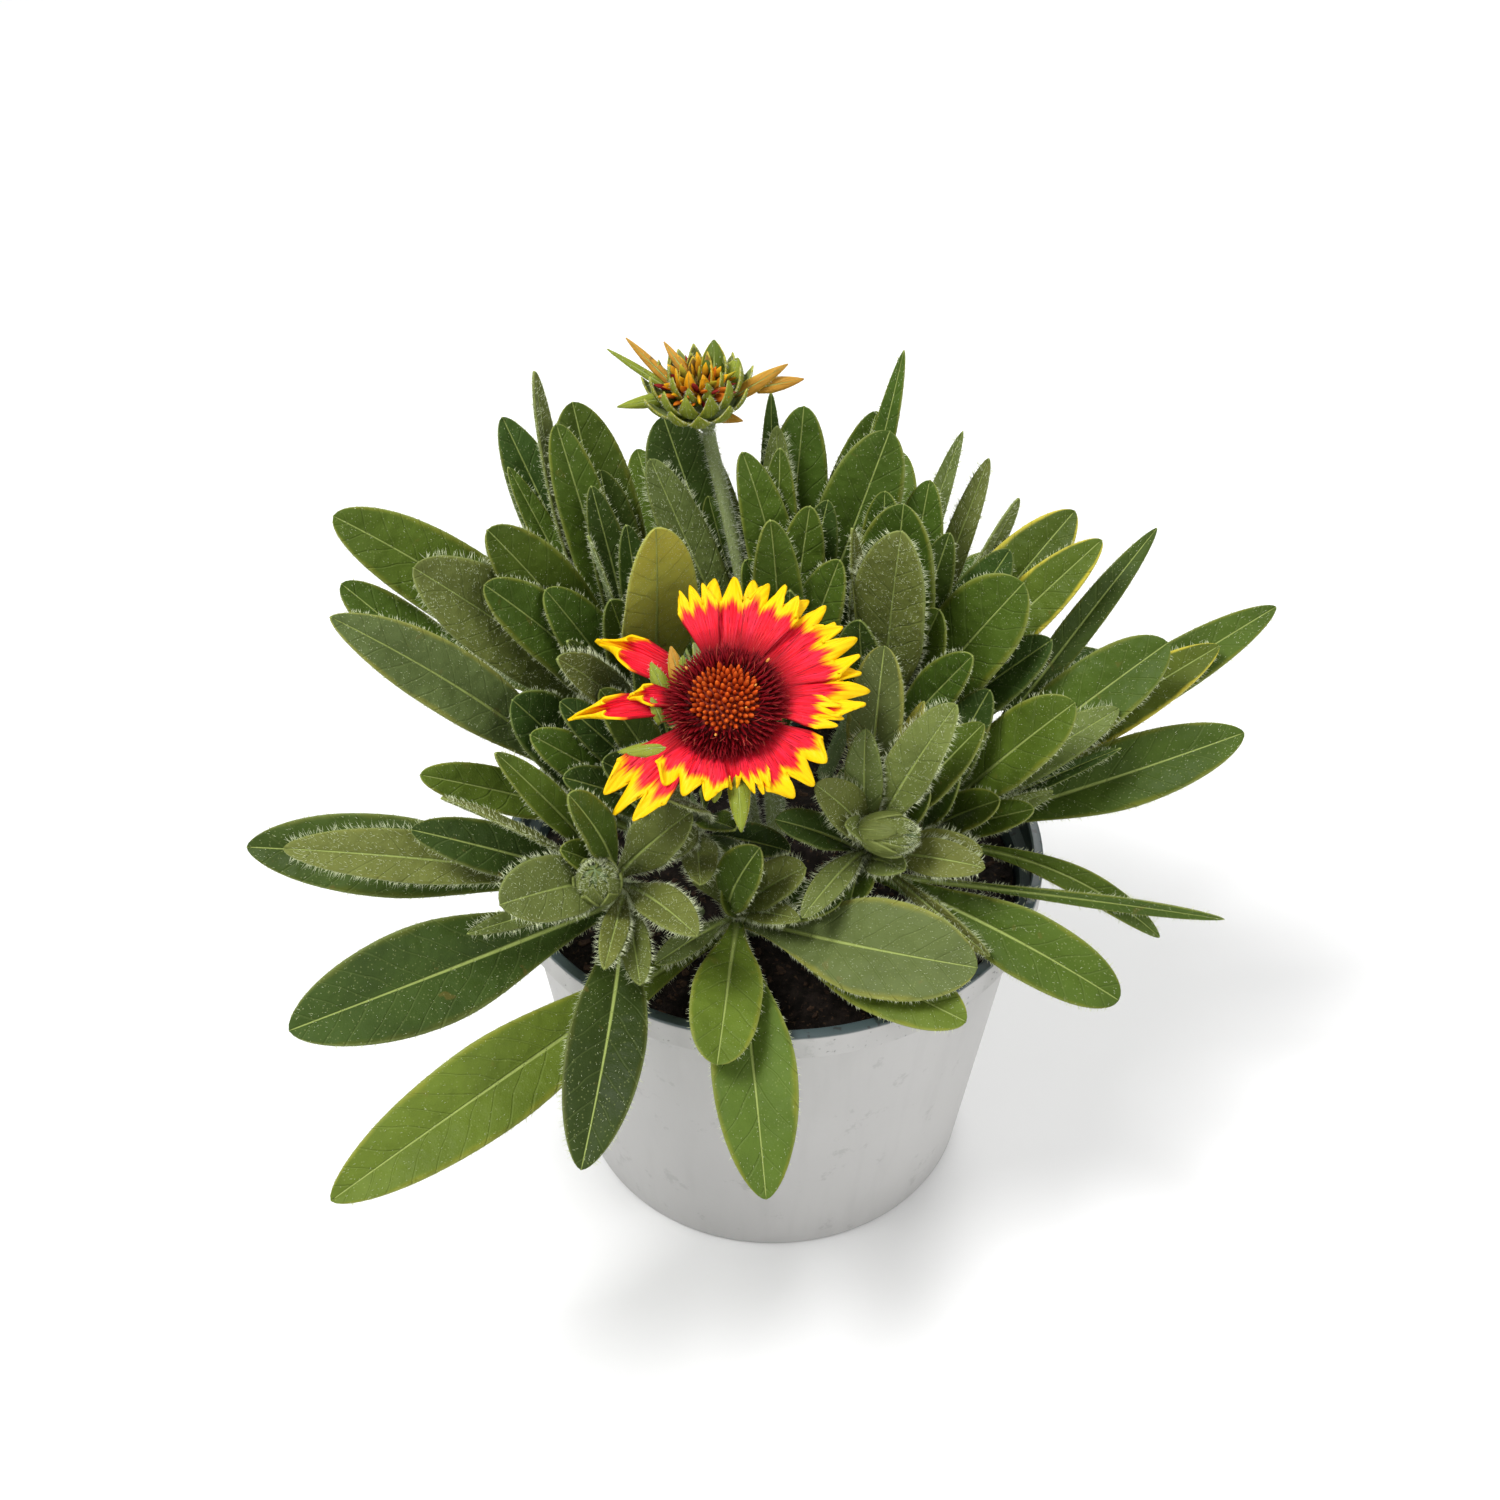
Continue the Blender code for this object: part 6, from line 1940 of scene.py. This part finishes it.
def bud_bracts():
    """Bracts of the opening bud: three rings that make its bowl, and the ones that stray."""
    bracts = []
    for ring, (count, root, tip, width, rise) in enumerate(BUD_RINGS):
        for i in range(count):
            angle = 2 * math.pi * (i + 0.5 * ring + 0.15) / count
            wide, tall = tip
            end = (wide + 0.9 * math.sin(i * 2.1 + ring), tall + 0.8 * math.sin(i * 1.3 + ring))
            bracts.append(ring_bract(BUD_BOWL, BUD_FACING, angle, root, end, width, rise,
                                     "sepal"))
    for i in range(7):
        angle = 2 * math.pi * (i + 0.4) / 7
        bracts.append(ring_bract(BUD_BOWL, BUD_FACING, angle, (2.6, 1.0),
                                 (3.6 + 0.6 * math.sin(i * 2.0), 8.6 + math.sin(i * 1.7)), 3.4,
                                 1.0, "young"))
    for name, root_u, root_v, tip_u, tip_v, y, width, look in BUD_STRAYS:
        low, high = seen(root_u, root_v, BUD_CENTRE.y), seen(tip_u, tip_v, y)
        along = (high - low).normalized()
        out = square((EYE - low).normalized(), along)
        bracts.append((low, high, width, out, 0.6, look))
    return bracts


def make_bud_florets():
    """Young florets crowding out of the bud: yellow, orange and maroon lobes."""
    rng = random.Random(9)
    centre = BUD_BOWL + BUD_FACING * 1.6
    lobe = make_floret("lobe", ((0.5, -0.8), (0.72, 0.6), (0.8, 1.9), (0.66, 3.0),
                                (0.3, 3.9), (0.05, 4.5)), 8)
    kinds = (((0.4, 0.16, 0.01), (0.86, 0.5, 0.01)), ((0.3, 0.06, 0.01), (0.78, 0.24, 0.01)),
             ((0.14, 0.01, 0.01), (0.3, 0.02, 0.02)), ((0.24, 0.24, 0.04), (0.62, 0.5, 0.03)))
    places = []
    for matrix in dome_places(centre, BUD_FACING, 5.4, 3.2, 56, 0.0, 1.01):
        low, high = kinds[rng.choice((0, 0, 0, 1, 1, 2, 2, 3))]
        flat = Matrix.Diagonal((1.25, 0.6, 1.0, 1.0))
        places.append((matrix @ Matrix.Rotation(rng.uniform(0, 3.1), 4, "Z") @ flat,
                       rng.uniform(0.7, 1.2), low, high))
    return copy_florets("bud_lobes", lobe, places, 0.35)


class PLANT_OT_bud(bpy.types.Operator):
    """Builds the opening bud behind the flower, on its own hairy stem"""

    bl_idname = "plant.bud"
    bl_label = "Opening bud"
    bl_options = {"REGISTER", "UNDO"}

    def execute(self, context):
        stemmed_head("bud_stalk", "bud_stem", bud_stem_line(), [2.0, 2.0, 1.8, 1.6, 1.6, 2.0],
                     cup_shape(BUD_CENTRE, BUD_FACING, 7.0, 5.0, 2.2), bud_bracts(),
                     bpy.data.materials["flower_stem_skin"], bpy.data.materials["stem_hairs"],
                     context.scene.plant_sizes.hair_amount)
        lobes = make_bud_florets()
        paint(lobes, floret_material("bud_floret_skin"))
        place_piece(lobes, "bud_florets", "bud_florets")
        return {"FINISHED"}


def make_floor(colour):
    """A plain pale floor that fills the view."""
    floor = primitive(bpy.ops.mesh.primitive_plane_add, size=12.0, location=(0, 0, 0))
    floor.name = "studio_floor"
    paint(floor, Skin("floor_paint").finish(colour, 0.8, 0.1))


def make_light(name, place, size, power):
    """A soft round lamp that looks at the middle of the plant."""
    light = bpy.data.lights.new(name, "AREA")
    light.shape = "DISK"
    light.size = size
    light.energy = power
    obj = add_object(name, light)
    obj.location = place
    way = Vector((0.0, 0.0, 0.1)) - Vector(place)
    obj.rotation_euler = way.to_track_quat("-Z", "Y").to_euler()


class PLANT_OT_stage(bpy.types.Operator):
    """Sets the plain floor, the soft lights and the camera of the photograph"""

    bl_idname = "plant.stage"
    bl_label = "Stage"
    bl_options = {"REGISTER", "UNDO"}

    def execute(self, context):
        scene = context.scene
        make_floor(tuple(scene.plant_colours.floor))
        make_light("key", (-0.6, -0.3, 1.25), 0.55, 16.0)
        make_light("fill", (0.95, -0.75, 0.85), 1.2, 6.0)
        make_light("back", (0.35, 1.05, 1.05), 0.8, 8.0)
        world = bpy.data.worlds.new("soft_room")
        world.use_nodes = True
        backdrop = world.node_tree.nodes["Background"]
        backdrop.inputs["Color"].default_value = (1.0, 1.0, 1.0, 1.0)
        backdrop.inputs["Strength"].default_value = 0.5
        scene.world = world
        camera = bpy.data.cameras.new("photo_view")
        camera.lens = 48.0
        camera.sensor_width = 36.0
        camera.clip_start = 0.01
        camera.clip_end = 50.0
        holder = add_object("photo_view", camera)
        holder.location = EYE * MM
        holder.rotation_euler = (math.pi / 2 - TILT, 0.0, 0.0)
        scene.camera = holder
        scene.view_settings.view_transform = "Standard"
        return {"FINISHED"}


class PLANT_PT_panel(bpy.types.Panel):
    """Lists the plant's pieces, sizes and colours in the sidebar"""

    bl_idname = "PLANT_PT_panel"
    bl_label = "Blanket flower plant"
    bl_space_type = "VIEW_3D"
    bl_region_type = "UI"
    bl_category = "Plant"

    def draw(self, context):
        layout = self.layout
        for group in (context.scene.plant_sizes, context.scene.plant_colours):
            for key in group.__annotations__:
                layout.prop(group, key)
        for operator in PIECES:
            layout.operator(operator.bl_idname)


PIECES = (PLANT_OT_stage, PLANT_OT_pot, PLANT_OT_soil, PLANT_OT_shoots, PLANT_OT_flower,
          PLANT_OT_bud)
CLASSES = (PlantSizes, PlantColours) + PIECES + (PLANT_PT_panel,)


def register():
    for cls in CLASSES:
        bpy.utils.register_class(cls)
    bpy.types.Scene.plant_sizes = PointerProperty(type=PlantSizes)
    bpy.types.Scene.plant_colours = PointerProperty(type=PlantColours)


def unregister():
    del bpy.types.Scene.plant_colours
    del bpy.types.Scene.plant_sizes
    for cls in reversed(CLASSES):
        bpy.utils.unregister_class(cls)


def main():
    register()
    bpy.ops.plant.stage()
    bpy.ops.plant.pot()
    bpy.ops.plant.soil()
    bpy.ops.plant.shoots()
    bpy.ops.plant.flower()
    bpy.ops.plant.bud()


if __name__ == "__main__":
    main()
